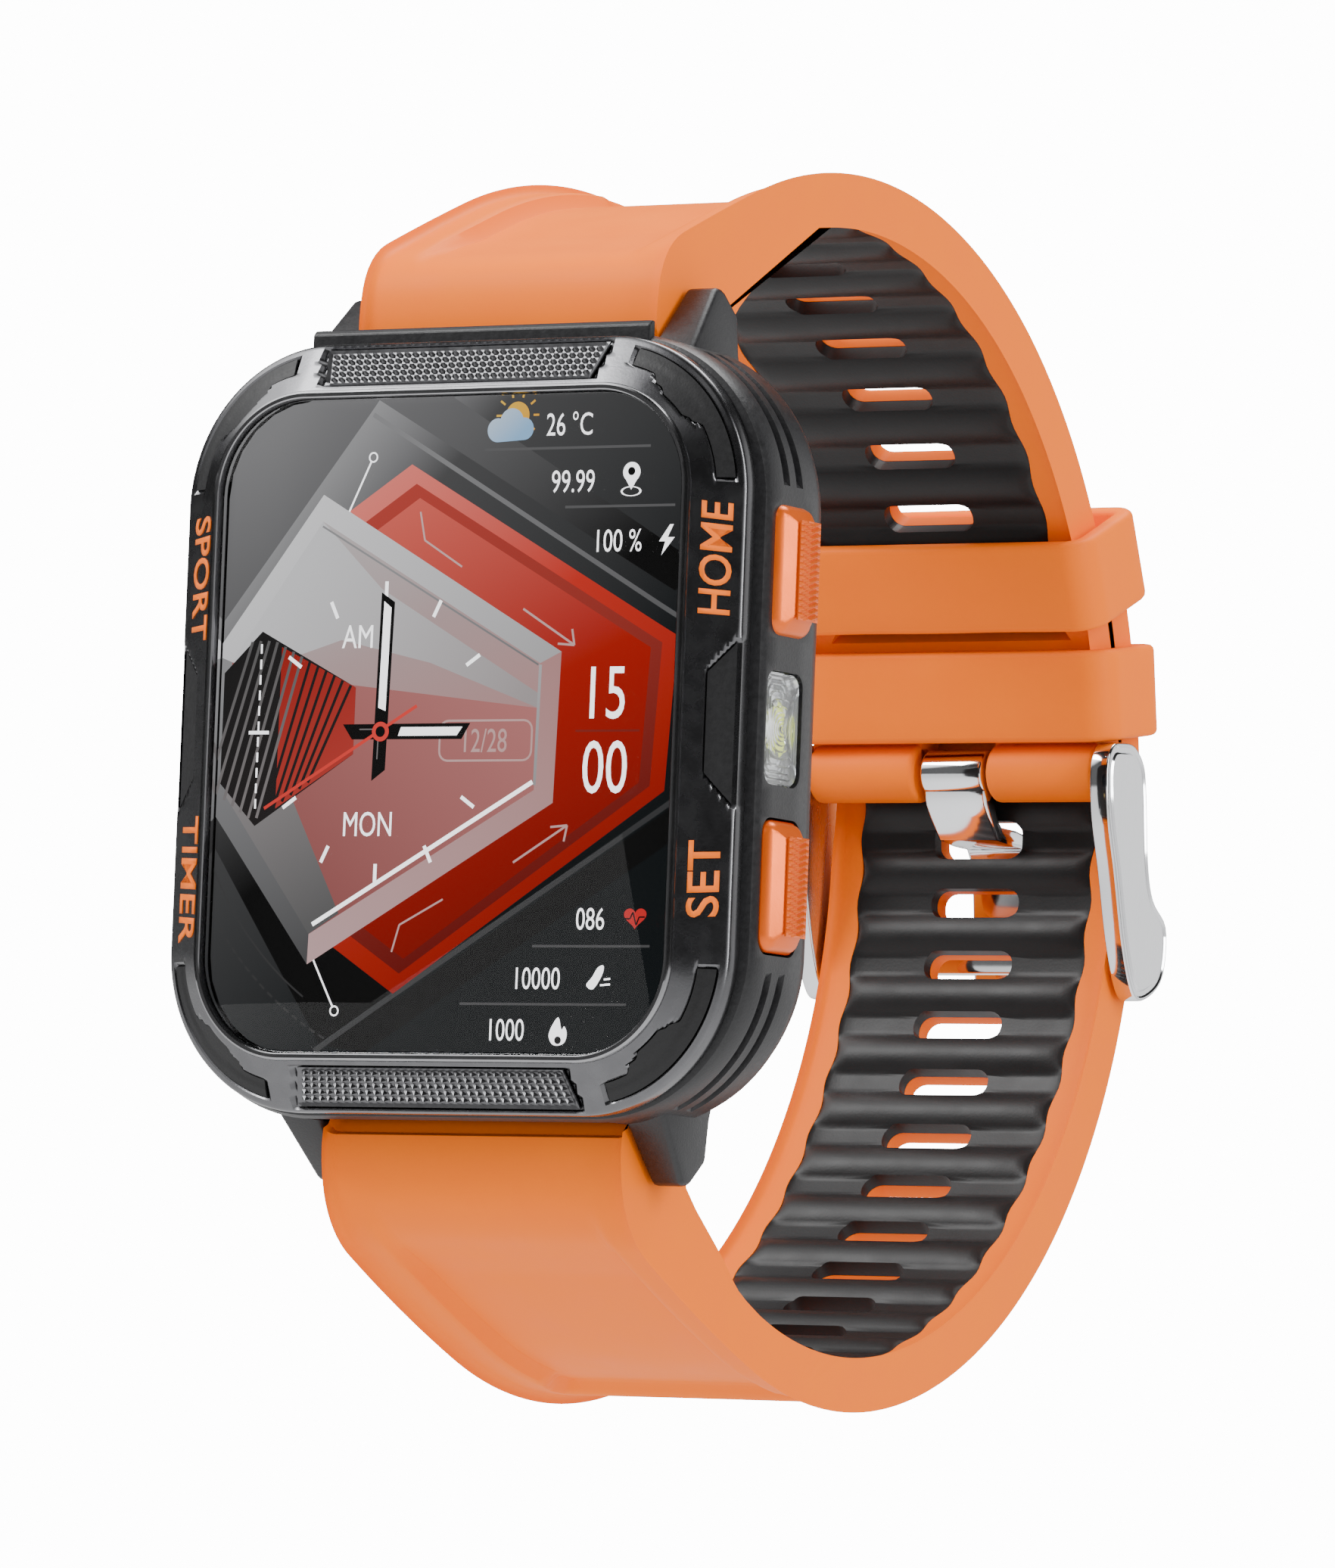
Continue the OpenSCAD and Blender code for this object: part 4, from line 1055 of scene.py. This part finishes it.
# %% Buckle frame
plate_line = [(-0.5, 1.95), (1.2, 1.85), (2.6, 0.7), (3.1, -1.2), (3.7, -5.8), (4.6, -8.3), (6.6, -10.0), (6.6, -12.8), (5.5, -14.4),
              (3.1, -15.3),
              (1.7, -14.4), (0.3, -11.4), (-1.1, -6.8), (-2.3, -3.2), (-2.7, 0.0), (-2.0, 1.6)]
plates = []
for sx in (1, -1):
    o = plate("side_plate", rounded([(pin[0] + d, pin[1] + z) for d, z in plate_line], 5), 11.35, 1.4, "side")
    only(o)
    bpy.ops.object.mode_set(mode="EDIT")
    bpy.ops.mesh.select_all(action="DESELECT")
    bpy.ops.object.mode_set(mode="OBJECT")
    for p in o.data.polygons:
        p.select = p.normal.x > 0.9
    bpy.ops.object.mode_set(mode="EDIT")
    bpy.ops.mesh.select_mode(type="FACE")
    for inset, rise in ((0.22, 0.0), (0.12, -0.1), (0.3, 0.0), (0.14, 0.12)):
        bpy.ops.mesh.inset(thickness=inset * MM)
        bpy.ops.transform.translate(value=(rise * MM, 0, 0))
    bpy.ops.mesh.select_mode(type="VERT")
    bpy.ops.object.mode_set(mode="OBJECT")
    apply(o, "BEVEL", width=0.16 * MM, segments=3, limit_method="ANGLE", angle_limit=math.radians(50))
    for v in o.data.vertices:
        v.co.x *= sx
    tidy(o)
    o.data.materials.append(chrome)
    o.data.materials.append(satin)
    for p in o.data.polygons:
        p.material_index = 1 if abs(p.normal.x) > 0.95 else 0
    plates.append(smooth(o, 30))
cross_line = [(5.25, -10.2), (6.3, -10.2), (6.8, -10.9), (6.8, -12.7), (6.3, -13.4), (5.25, -13.4)]
cross = plate("cross_bar", [(pin[0] + d, pin[1] + z) for d, z in cross_line], -11.45, 22.9, "side", bevel=0.2, segments=3)
cross.data.materials.append(chrome)
done(join("buckle_plates", [*plates, smooth(cross, 40)]), chrome, "buckle_frame", "buckle_chrome", "buckle_frame")

# %% [markdown]
# The prong is a rolled strip: a roll round the pin, and a tongue that dips through the strap's slot and rests on the
# cross-bar.

# %% Prong
tongue = [(-1.0, -1.0), (-0.6, -2.2), (0.0, -3.0), (1.4, -4.45), (3.4, -4.75), (5.4, -4.8), (6.3, -6.0), (6.8, -10.2), (7.25, -14.2),
          (7.65, -14.55),
          (8.1, -14.2), (7.75, -9.6), (7.3, -5.4), (6.9, -4.6), (6.0, -3.9), (3.9, -3.6), (1.9, -3.55), (1.3, -3.1), (1.0, -2.6),
          (0.7, -1.0)]
o = plate("tongue", [(pin[0] + d, pin[1] + z) for d, z in tongue], -2.4, 4.8, "side", bevel=0.3, segments=3, limit=40)
roll = rod("roll", 1.6, -2.4, 2.4, *pin, 0.25)
done(join("prong_strip", [smooth(o, 30), roll]), chrome, "prong", "buckle_chrome", "prong")

# %% [markdown]
# ## The picture on the display
# A lit display gives its own light, so its colours are emission. Large fields fade from one corner to another: the fade
# is the distance along a direction on the dial, mapped between two colours. Small marks are one colour with a trace of
# change, as a printed or lit dot has.

# %% Colours that fade across the dial
def lit(name, a, b, start, end, strength=1.0, rough=0.35, middle=None):
    m = bpy.data.materials.new(name)
    m.use_nodes = True
    t = m.node_tree
    s = t.nodes["Principled BSDF"]
    co = t.nodes.new("ShaderNodeTexCoord")
    dot = t.nodes.new("ShaderNodeVectorMath")
    dot.operation = "DOT_PRODUCT"
    way = Vector((end[0] - start[0], 0, end[1] - start[1])) * MM
    dot.inputs[1].default_value = way / way.length_squared
    first = Vector((start[0], 0, start[1])) * MM
    ramp = t.nodes.new("ShaderNodeValToRGB")
    shift = t.nodes.new("ShaderNodeMath")
    shift.operation = "SUBTRACT"
    shift.inputs[1].default_value = first.dot(way) / way.length_squared
    ramp.color_ramp.elements[0].color = (*a, 1)
    ramp.color_ramp.elements[1].color = (*b, 1)
    if middle:
        e = ramp.color_ramp.elements.new(middle[0])
        e.color = (*middle[1], 1)
    t.links.new(co.outputs["Object"], dot.inputs[0])
    t.links.new(dot.outputs["Value"], shift.inputs[0])
    t.links.new(shift.outputs["Value"], ramp.inputs["Fac"])
    t.links.new(ramp.outputs["Color"], s.inputs["Emission Color"])
    s.inputs["Emission Strength"].default_value = strength
    s.inputs["Base Color"].default_value = (0, 0, 0, 1)
    s.inputs["Roughness"].default_value = rough
    s.inputs["Specular IOR Level"].default_value = 0.0
    return m


def grey(v):
    return (v, v, v * 1.02)


ink = {
    # the display's dark field, with a painted reflection of the cover glass: light grey at the upper left, fading to
    # near black
    "ground_and_painted_reflection": lit("dial_ground_and_painted_reflection", grey(0.62), (0.004, 0.006, 0.007), (-17, 20), (8, -4), middle=(0.42, grey(0.075))),
    "band": lit("dial_band", grey(0.2), (0.002, 0.002, 0.002), (-12, 20), (2, 2)),
    "band_edge": lit("dial_band_edge", grey(0.3), (0.012, 0.013, 0.014), (-14, 20), (10, -14)),
    "red_rim": lit("dial_red_rim", (0.95, 0.22, 0.18), (0.3, 0.006, 0.003), (-4, 16), (13, -8), middle=(0.45, (0.62, 0.03, 0.018))),
    "red_shade": lit("dial_red_shade", (0.5, 0.06, 0.045), (0.12, 0.002, 0.001), (-4, 16), (10, -12)),
    "red": lit("dial_red", (0.78, 0.13, 0.1), (0.2, 0.004, 0.002), (-4, 14), (8, -13), middle=(0.5, (0.42, 0.01, 0.006))),
    "rim_light": lit("dial_rim_light", grey(0.85), (0.26, 0.25, 0.25), (-12, 14), (6, -10)),
    "rim_dark": lit("dial_rim_dark", grey(0.3), (0.07, 0.07, 0.072), (-14, 6), (-6, -14)),
    "rim_pink": lit("dial_rim_pink", (0.62, 0.4, 0.4), (0.5, 0.26, 0.25), (-9, -15), (8, 4)),
    "face": lit("dial_face", (0.58, 0.54, 0.54), (0.5, 0.24, 0.23), (-8, 13), (0, -6), middle=(0.42, (0.5, 0.36, 0.355))),
    "face_low": lit("dial_face_low", (0.52, 0.19, 0.18), (0.3, 0.09, 0.085), (4, 3), (-8, -13)),
    "face_grey": lit("dial_face_grey", (0.3, 0.28, 0.28), (0.1, 0.1, 0.1), (-15, 0), (-8, -13)),
    "sheen": lit("dial_sheen", grey(0.72), (0.4, 0.36, 0.36), (-9, 13), (6, 2)),
    "hatch": lit("dial_hatch", (0.012, 0.012, 0.012), (0.02, 0.016, 0.016), (-17, 5), (-8, -5)),
    "hatch_red": lit("dial_hatch_red", (0.34, 0.014, 0.01), (0.5, 0.05, 0.04), (-13, 5), (-7, -5)),
    "stripe": lit("dial_stripe", (0.1, 0.1, 0.1), (0.22, 0.2, 0.2), (-17, 5), (-12, -5)),
    "white": lit("dial_white", grey(2.2), grey(2.4), (-10, 10), (10, -10)),
    "soft": lit("dial_soft_white", (0.75, 0.5, 0.48), (0.62, 0.36, 0.34), (-10, 10), (14, -10)),
    "line": lit("dial_line", grey(0.12), grey(0.07), (0, 19), (14, -18)),
    "black": lit("dial_black", (0.002, 0.002, 0.002), (0.006, 0.006, 0.006), (-10, 10), (10, -10)),
    "second": lit("dial_second", (0.8, 0.05, 0.04), (0.9, 0.06, 0.05), (-13, -5), (0, 2)),
    "heart": lit("dial_heart", (0.75, 0.03, 0.03), (0.6, 0.02, 0.02), (12, -11), (16, -14)),
    "sun": lit("dial_sun", (0.95, 0.62, 0.08), (0.95, 0.42, 0.03), (2, 20), (6, 18)),
    "cloud": lit("dial_cloud", (0.75, 0.85, 0.98), (0.3, 0.55, 0.85), (2, 20), (4, 17.6)),
    "arc": lit("dial_arc", grey(0.05), grey(0.035), (-16, -8), (-8, -19)),
}

# %% [markdown]
# Every mark is a thin card: an outline, cut to the edge of the window where it runs past it, at its own depth. A stroke
# is a card along a line, a disc and a loop come from a circle. Cards of a group are joined into one piece at the end.
# `art_lift` brings every card forward by the same amount, so the gasket's inner edge doesn't hide the picture's border.

# %% Cards, strokes, discs and words
edge_line = [tuple(around(k / 6, 33.7, 41.1, 6.05)) for k in range(48)]
cards = []
art_lift = 0.3


def trimmed(points):
    out = [tuple(p) for p in points]
    for k in range(len(edge_line)):
        a, b = Vector(edge_line[k]), Vector(edge_line[(k + 1) % len(edge_line)])
        if (b - a).length < 1e-6:
            continue
        new = []
        for i in range(len(out)):
            p, q = Vector(out[i - 1]), Vector(out[i])
            sp, sq = (b - a).cross(p - a), (b - a).cross(q - a)
            if sp * sq < 0:
                new.append(tuple(p.lerp(q, sp / (sp - sq))))
            if sq >= 0:
                new.append(tuple(q))
        out = new
    return out


def card(points, d, colour, thick=0.012):
    pts = trimmed(points)
    if len(pts) < 3:
        return None
    o = plate("card", pts, d - art_lift, thick, "front")
    o.data.materials.append(ink[colour])
    cards.append(o)
    return o


def stroke(p, q, w, d, colour):
    p, q = Vector(p), Vector(q)
    t = (q - p).normalized()
    n = Vector((-t.y, t.x)) * w / 2
    return card([p + n, p - n, q - n, q + n], d, colour)


def disc(c, r, d, colour, n=28, squash=1.0):
    return card([(c[0] + r * math.cos(2 * math.pi * k / n), c[1] + squash * r * math.sin(2 * math.pi * k / n))
                 for k in range(n)], d, colour)


def loop(c, r, w, d, colour, n=28, squash=1.0, a0=0.0, a1=360.0):
    for k in range(n):
        a, b = (math.radians(a0 + (a1 - a0) * (k + e) / n) for e in (0, 1))
        card([(c[0] + (r - w) * math.cos(b), c[1] + squash * (r - w) * math.sin(b)),
              (c[0] + (r - w) * math.cos(a), c[1] + squash * (r - w) * math.sin(a)),
              (c[0] + r * math.cos(a), c[1] + squash * r * math.sin(a)),
              (c[0] + r * math.cos(b), c[1] + squash * r * math.sin(b))], d, colour)


def word(text, size, c, d, colour, narrow=0.8, bold=0.0):
    o = written(text, size, bold)
    xs = [v.co.x for v in o.data.vertices]
    ys = [v.co.y for v in o.data.vertices]
    mx, my = (min(xs) + max(xs)) / 2, (min(ys) + max(ys)) / 2
    for v in o.data.vertices:
        v.co = place(c[0] + (v.co.x - mx) * narrow, d - art_lift, c[1] + v.co.y - my)
    facing_out(tidy(o, 1e-7, outwards=False))
    apply(o, "SOLIDIFY", thickness=0.008 * MM, offset=-1)
    o.data.materials.append(ink[colour])
    cards.append(o)


def gather(name, slot="display"):
    global cards
    o = join(name, [c for c in cards if c])
    cards = []
    return done(o, ink["black"], "case", slot)


# %% [markdown]
# The background is a dark field; its brightening to the upper left is a painted reflection of the cover glass. Broad
# bands are folded over it. On it lie a red six-sided plate with a lit rim, and in front of that a glassy grey one with
# bevelled borders, which holds the dial.

# %% Background and the red plate
# dark field with a painted reflection of the cover glass, lighter towards the upper left
card([(-18, 22), (-18, -22), (18, -22), (18, 22)], 1.36, "ground_and_painted_reflection")
card([(-15, 22), (-19, 14), (-19, 4), (-6, 20.5), (16, 8.2), (18, 9.6), (-3, 22)], 1.34, "band")
card([(-18, -6), (-8.5, -20), (-5.2, -20.5), (16, -7.6), (18, -6), (18, -4.2), (-3, -17.2), (-15, -3)], 1.34, "band")
stroke((-8.9, -20.4), (16.8, -4.6), 0.35, 1.33, "band_edge")
stroke((-6.4, 19.6), (17, 6.2), 0.3, 1.33, "band_edge")
red = [(-3.4, 16.4), (-13, 10.2), (-13, -10.6), (-3.2, -16.8), (15.8, -4.2), (16.35, 5.4)]
card(red, 1.32, "red_rim")
centre = Vector((2.0, 0.0))


def drawn_in(points, k):
    return [tuple(centre + (Vector(p) - centre) * k) for p in points]


card(drawn_in(red, 0.925), 1.305, "red_shade")
card(drawn_in(red, 0.87), 1.29, "red")
for a, b in (((-2.6, 13.4), (-2.2, 11.6)), ((-2.2, 11.6), (0.6, 9.9)), ((-3.4, -14.2), (-2.9, -12.5)), ((-2.9, -12.5), (0.2, -10.9))):
    stroke(a, b, 0.12, 1.27, "soft")
for y, s in ((7.2, -1), (-8.6, 1)):
    a, b = Vector((5.2, y)), Vector((9.0, y + s * 2.3))
    stroke(a, b, 0.14, 1.27, "soft")
    stroke(b, b + Vector((-0.2, -s * 1.0)), 0.14, 1.27, "soft")
    stroke(b, b + Vector((-1.2, -s * 0.1)), 0.14, 1.27, "soft")
for a, b in (((-8.3, 12.6), (-6.4, 16.6)), ((-9.2, -14.6), (-7.6, -17.6))):
    stroke(a, b, 0.12, 1.27, "white")
    loop((b[0] + 0.15, b[1] + (0.3 if b[1] > 0 else -0.3)), 0.34, 0.1, 1.27, "white", 16)
for k in range(26):
    loop((2.0, 0.5), 22.6, 0.14, 1.32, "arc", 1, 1.0, 192 + 2.0 * k, 193.2 + 2.0 * k)
loop((2.0, 0.5), 21.2, 0.12, 1.32, "arc", 40, 1.0, 196, 236)
gather("display_background")

# %% [markdown]
# Each border of the grey plate is a card between the outer and the inner outline, lighter or darker by the way it would
# slope. A wedge of slanting stripes and a dotted line mark the plate's left half.

# %% Grey plate with bevelled borders
silver = [(-9.8, 14.6), (-17.4, 4.6), (-17.4, -5.0), (-9.6, -15.0), (7.9, -4.9), (8.1, 4.5)]
inner = [(-9.75, 12.9), (-16.1, 4.1), (-16.1, -4.5), (-9.55, -13.1), (6.5, -4.1), (6.6, 3.8)]
rims = ["rim_light", "rim_dark", "rim_dark", "rim_pink", "rim_pink", "rim_light"]
for k in range(6):
    a, b = k, (k + 1) % 6
    card([silver[a], silver[b], inner[b], inner[a]], 1.26, rims[k])
card(inner, 1.25, "face_low")
card([(-9.75, 12.9), (-16.1, 4.1), (-14.5, 3.4), (6.6, 1.0), (6.6, 3.8)], 1.235, "face")
card([(-16.1, 1), (-16.1, -4.5), (-9.55, -13.1), (-7.4, -11.8), (-11.2, -4.6), (-12.0, 2.0)], 1.235, "face_grey")
card([(-9.75, 12.9), (-16.1, 4.1), (-13.4, 3.8), (-8.0, 5.4), (-1.4, 3.9), (6.6, 1.0), (6.6, 1.9), (-5.2, 8.6)], 1.225, "sheen")
stroke((-9.3, -12.5), (6.4, -3.6), 0.28, 1.21, "white")
stroke((6.55, -3.8), (6.65, 3.7), 0.2, 1.21, "rim_light")
stroke((-9.75, 12.6), (6.5, 3.7), 0.12, 1.21, "rim_dark")
wedge = [(-13.9, 6.0), (-16.6, 3.4), (-16.6, -3.6), (-13.9, -6.3), (-6.8, -1.8), (-6.8, 2.4)]
card(wedge, 1.205, "hatch")
card([(-12.4, 5.0), (-12.4, -5.2), (-6.8, -1.8), (-6.8, 2.4)], 1.195, "hatch_red")
for k in range(22):
    x = -17.5 + 0.62 * k
    a = (x, max(-5.8, -6.1 + abs(x + 14) * 0.64))
    hi = 5.8 - abs(x + 2.6 + 14) * 0.5
    b = (x + 2.9, min(5.4, hi))
    if b[1] > a[1] + 0.5 and b[0] < -6.9:
        stroke(a, b, 0.2, 1.185, "stripe" if x < -13.4 else "hatch")
for k in range(11):
    stroke((-13.9, -5.2 + k * 0.98), (-13.9, -4.6 + k * 0.98), 0.13, 1.175, "white")
gather("display_dial_plate")

# %% [markdown]
# Hours are short bars on an oval round the hub. The hands are black with a white inlay and a short tail; the seconds
# hand is a thin red needle with an open hub.

# %% Marks and hands
hub = Vector((-4.8, -0.4))
for k in range(12):
    if k in (3, 9):
        continue
    a = math.radians(90 - 30 * k)
    out = Vector((math.cos(a) * 7.6, math.sin(a) * 8.9))
    mid = hub + out
    t = out.normalized()
    stroke(mid - t * 0.6, mid + t * 0.55, 0.24, 1.17, "white")
stroke((-14.6, -0.4), (-13.1, -0.4), 0.22, 1.165, "white")


def hand(direction, length, tail, w):
    t = Vector(direction).normalized()
    n = Vector((-t.y, t.x))
    tip, end = hub + t * length, hub - t * tail
    card([end + n * w * 0.95 - t * 0.2, end - n * w * 0.95 + t * 0.5, tip - n * w - t * 0.25, tip + n * w + t * 0.35], 1.15, "black")
    a, b = hub + t * 1.5, hub + t * (length - 0.35)
    card([a + n * w * 0.55, a - n * w * 0.55 - t * 0.2, b - n * w * 0.55 - t * 0.25, b + n * w * 0.55 + t * 0.15], 1.135, "white")
    stroke(a - t * 1.1 + n * w * 0.3, hub - t * tail * 0.6 + n * w * 0.3, 0.08, 1.135, "stripe")


hand((0.02, 1), 8.4, 2.9, 0.5)
hand((1, 0.0), 6.2, 2.6, 0.5)
stroke((-13.2, -5.2), (-2.2, 1.2), 0.2, 1.125, "second")
disc(hub, 0.62, 1.12, "second")
disc(hub, 0.34, 1.11, "black")
gather("display_hands")

# %% [markdown]
# The readouts are plain words and figures, drawn a little narrow. The date has a rounded frame of short strokes, and
# fine lines part the rows at the right edge.

# %% Words and figures
word("AM", 2.1, (-6.8, 5.6), 1.17, "white", 0.78)
word("MON", 2.2, (-5.5, -6.2), 1.17, "white", 0.72)
word("12/28", 2.1, (2.9, -1.0), 1.17, "soft", 0.72)
for k in range(8):
    a, b = (Vector(around(k + e, 6.7, 2.5, 0.6)) for e in (0, 0.999))
    if k % 2:
        stroke(Vector((2.9, -1.0)) + a, Vector((2.9, -1.0)) + b, 0.13, 1.17, "soft")
    else:
        for m in range(4):
            a, b = (Vector(around(k + (m + e) / 4 * 0.999, 6.7, 2.5, 0.6)) for e in (0, 1))
            stroke(Vector((2.9, -1.0)) + a, Vector((2.9, -1.0)) + b, 0.13, 1.17, "soft")
word("15", 4.7, (11.6, 1.9), 1.17, "white", 0.72)
word("00", 4.7, (11.6, -2.7), 1.17, "white", 0.72)
stroke((9.4, -0.45), (14.0, -0.45), 0.14, 1.17, "red_shade")
for text, size, c in (("26 °C", 2.0, (8.1, 18.7)), ("99.99", 2.0, (8.5, 15.1)), ("100 %", 2.0, (12.0, 11.35)),
                      ("086", 1.95, (11.0, -12.1)), ("10000", 1.95, (7.4, -15.8)), ("1000", 1.95, (5.3, -19.0))):
    word(text, size, c, 1.17, "white", 0.72)
for x0, x1, z in ((2.0, 14.0, 17.2), (8.0, 15.9, 13.5), (6.9, 15.3, -13.8), (1.8, 13.8, -17.4)):
    stroke((x0, z), (x1, z), 0.16, 1.17, "line")
gather("display_readouts")

# %% [markdown]
# Small signs stand beside the figures: a cloud over a sun, a pin on a ring, a lightning bolt, a heart with a beat line, a
# footprint shape and a flame. Each is a few cards of its own drawing.

# %% Small signs
for k in range(10):
    a = math.radians(36 * k)
    stroke((4.3 + 1.15 * math.cos(a), 19.3 + 1.15 * math.sin(a)), (4.3 + 1.55 * math.cos(a), 19.3 + 1.55 * math.sin(a)), 0.13, 1.17, "sun")
disc((4.3, 19.3), 0.85, 1.165, "sun")
for c, r in (((2.9, 18.4), 0.75), ((3.9, 18.9), 0.85), ((4.8, 18.45), 0.7)):
    disc(c, r, 1.15, "cloud")
card([(2.9, 17.65), (4.8, 17.75), (5.1, 18.3), (2.7, 18.3)], 1.148, "cloud")
disc((12.7, 15.6), 0.62, 1.17, "white")
card([(12.1, 15.45), (12.7, 14.5), (13.3, 15.45)], 1.168, "white")
disc((12.7, 15.65), 0.26, 1.15, "black", 16)
loop((12.7, 14.4), 0.75, 0.14, 1.17, "white", 20, 0.42)
card([(15.6, 12.3), (14.85, 11.25), (15.3, 11.25), (15.05, 10.4), (15.95, 11.5), (15.45, 11.5), (15.85, 12.3)], 1.17, "white")
heart = [(0.8 * math.sin(t) ** 3,
          0.72 * (0.8125 * math.cos(t) - 0.3125 * math.cos(2 * t) - 0.125 * math.cos(3 * t) - 0.0625 * math.cos(4 * t)))
         for t in (2 * math.pi * k / 32 for k in range(32))]
card([(14.2 + x, -12.0 + y) for x, y in heart][::-1], 1.17, "heart")
beat = [(13.5, -12.1), (13.85, -12.1), (14.05, -11.7), (14.3, -12.5), (14.5, -12.0), (14.9, -12.0)]
for a, b in zip(beat, beat[1:]):
    stroke(a, b, 0.09, 1.15, "black")
card(rounded([(10.9, -16.2), (11.4, -16.45), (12.0, -15.6), (12.1, -15.0), (11.7, -15.1), (11.3, -15.7)], 4)[::-1], 1.17, "white")
stroke((11.9, -16.2), (12.6, -16.15), 0.12, 1.17, "white")
stroke((12.15, -15.85), (12.6, -15.8), 0.12, 1.17, "white")
card(rounded([(9.0, -18.2), (8.55, -18.75), (8.35, -19.35), (8.6, -19.85), (9.05, -19.95), (9.5, -19.75), (9.65, -19.2), (9.45, -18.75),
              (9.25, -18.95)], 4), 1.17, "white")
disc((9.02, -19.62), 0.24, 1.15, "black", 16)
gather("display_signs")

# %% [markdown]
# ## Camera, light and floor
# A long lens from the lower right front keeps the watch's sides almost parallel. The camera stands back along a direction
# given by two angles, is rolled a little, and is moved sideways so that the whole watch is in view.

# %% Camera
az, el, roll = math.radians(30.566), math.radians(-4.417), math.radians(2.230)
back = Vector((math.sin(az) * math.cos(el), -math.cos(az) * math.cos(el), math.sin(el)))
right = Vector((0, 0, 1)).cross(back).normalized()
up = back.cross(right)
spot = back * 0.624733 + right * 0.014262 + up * -0.003202 + Vector((0, -0.039, 0))
across_view = right * math.cos(roll) + up * math.sin(roll)
up_view = up * math.cos(roll) - right * math.sin(roll)
clear_selection()
bpy.ops.object.camera_add(location=spot)
cam = bpy.context.object
cam.matrix_world = Matrix(((across_view.x, up_view.x, back.x, spot.x), (across_view.y, up_view.y, back.y, spot.y),
                           (across_view.z, up_view.z, back.z, spot.z), (0, 0, 0, 1)))
cam.data.lens = 229.95
cam.data.sensor_width = 36.0
bpy.context.scene.camera = cam

# %% [markdown]
# The watch floats in a white room with a pale floor far below. The world answers each kind of ray in its own way: the
# camera sees plain white, matt faces are lit by a soft sky that is brightest at the upper left, and polished faces mirror
# a darker room with a few bright patches, which gives the metal its contrast. Three area lights add a key, an edge and a
# top light.

# %% Floor, world and lights
floor_white = finish("pale_floor", (0.86, 0.86, 0.86), (0.9, 0.9, 0.9), 3, 0.8, bump=0.0)
clear_selection()
bpy.ops.mesh.primitive_plane_add(size=8, location=(0, 0, -0.5))
floor = bpy.context.object
floor.name = "floor"
floor.data.materials.append(floor_white)
world = bpy.data.worlds.new("white_room")
bpy.context.scene.world = world
world.use_nodes = True
sky = world.node_tree
sky.nodes["Background"].inputs["Color"].default_value = (1, 1, 1, 1)
sky.nodes["Background"].inputs["Strength"].default_value = 14
world.cycles.sampling_method = "NONE"
ray = sky.nodes.new("ShaderNodeLightPath")
way = sky.nodes.new("ShaderNodeTexCoord")


def spread(axis, near, far, low, high):
    # brightness rises from low to high where the direction comes close to the axis
    dot = sky.nodes.new("ShaderNodeVectorMath")
    dot.operation = "DOT_PRODUCT"
    dot.inputs[1].default_value = Vector(axis).normalized()
    fade = sky.nodes.new("ShaderNodeMapRange")
    fade.interpolation_type = "SMOOTHSTEP"
    for k, v in zip(("From Min", "From Max", "To Min", "To Max"), (math.cos(math.radians(far)), math.cos(math.radians(near)), low, high)):
        fade.inputs[k].default_value = v
    sky.links.new(way.outputs["Generated"], dot.inputs[0])
    sky.links.new(dot.outputs["Value"], fade.inputs["Value"])
    return fade.outputs["Result"]


def plus(a, b):
    m = sky.nodes.new("ShaderNodeMath")
    m.operation = "ADD"
    sky.links.new(a, m.inputs[0])
    sky.links.new(b, m.inputs[1])
    return m.outputs["Value"]


def sky_lamp(strength):
    o = sky.nodes.new("ShaderNodeBackground")
    o.inputs["Color"].default_value = (1, 1, 1, 1)
    sky.links.new(strength, o.inputs["Strength"])
    return o.outputs["Background"]


soft = sky_lamp(spread((-0.4, -0.5, 0.8), 0, 150, 0.62, 1.4))
shine = spread((-0.75, -0.35, 0.75), 14, 34, 0.03, 3.2)
for axis, near, far, high in (((0.95, -0.5, 0.1), 6, 18, 1.6), ((0.1, -0.6, -0.8), 10, 26, 1.8), ((0.5, 0.86, 0.1), 10, 32, 1.3),
                              ((-0.507, -0.859, 0.077), 4, 30, 0.12), ((0.05, -0.8, 0.65), 5, 16, 1.1), ((-0.95, 0.1, -0.3), 10, 24, 1.2),
                              ((0.2, 0.9, -0.2), 10, 30, 0.6), ((0, 0.3, 1), 10, 30, 1.6)):
    shine = plus(shine, spread(axis, near, far, 0.0, high))
seen = sky_lamp(shine)
out = sky.nodes["World Output"]
for choose, other in (("Is Diffuse Ray", soft), ("Is Camera Ray", sky.nodes["Background"].outputs["Background"])):
    mix = sky.nodes.new("ShaderNodeMixShader")
    sky.links.new(ray.outputs[choose], mix.inputs["Fac"])
    sky.links.new(seen, mix.inputs[1])
    sky.links.new(other, mix.inputs[2])
    seen = mix.outputs["Shader"]
sky.links.new(seen, out.inputs["Surface"])


def softbox(name, at, size, power, target=(0, -0.01, 0), tint=(1, 1, 1)):
    clear_selection()
    bpy.ops.object.light_add(type="AREA", location=at)
    o = bpy.context.object
    o.name = name
    o.data.shape = "RECTANGLE"
    o.data.size, o.data.size_y = size
    o.data.energy = power
    o.data.color = tint
    o.rotation_euler = (Vector(target) - Vector(at)).to_track_quat("-Z", "Y").to_euler()
    return o


softbox("key", (-0.45, -0.5, 0.6), (0.4, 0.3), 6)
softbox("edge", (0.65, -0.15, 0.2), (0.1, 0.6), 3)
softbox("top", (0.0, 0.25, 0.6), (0.4, 0.3), 3)
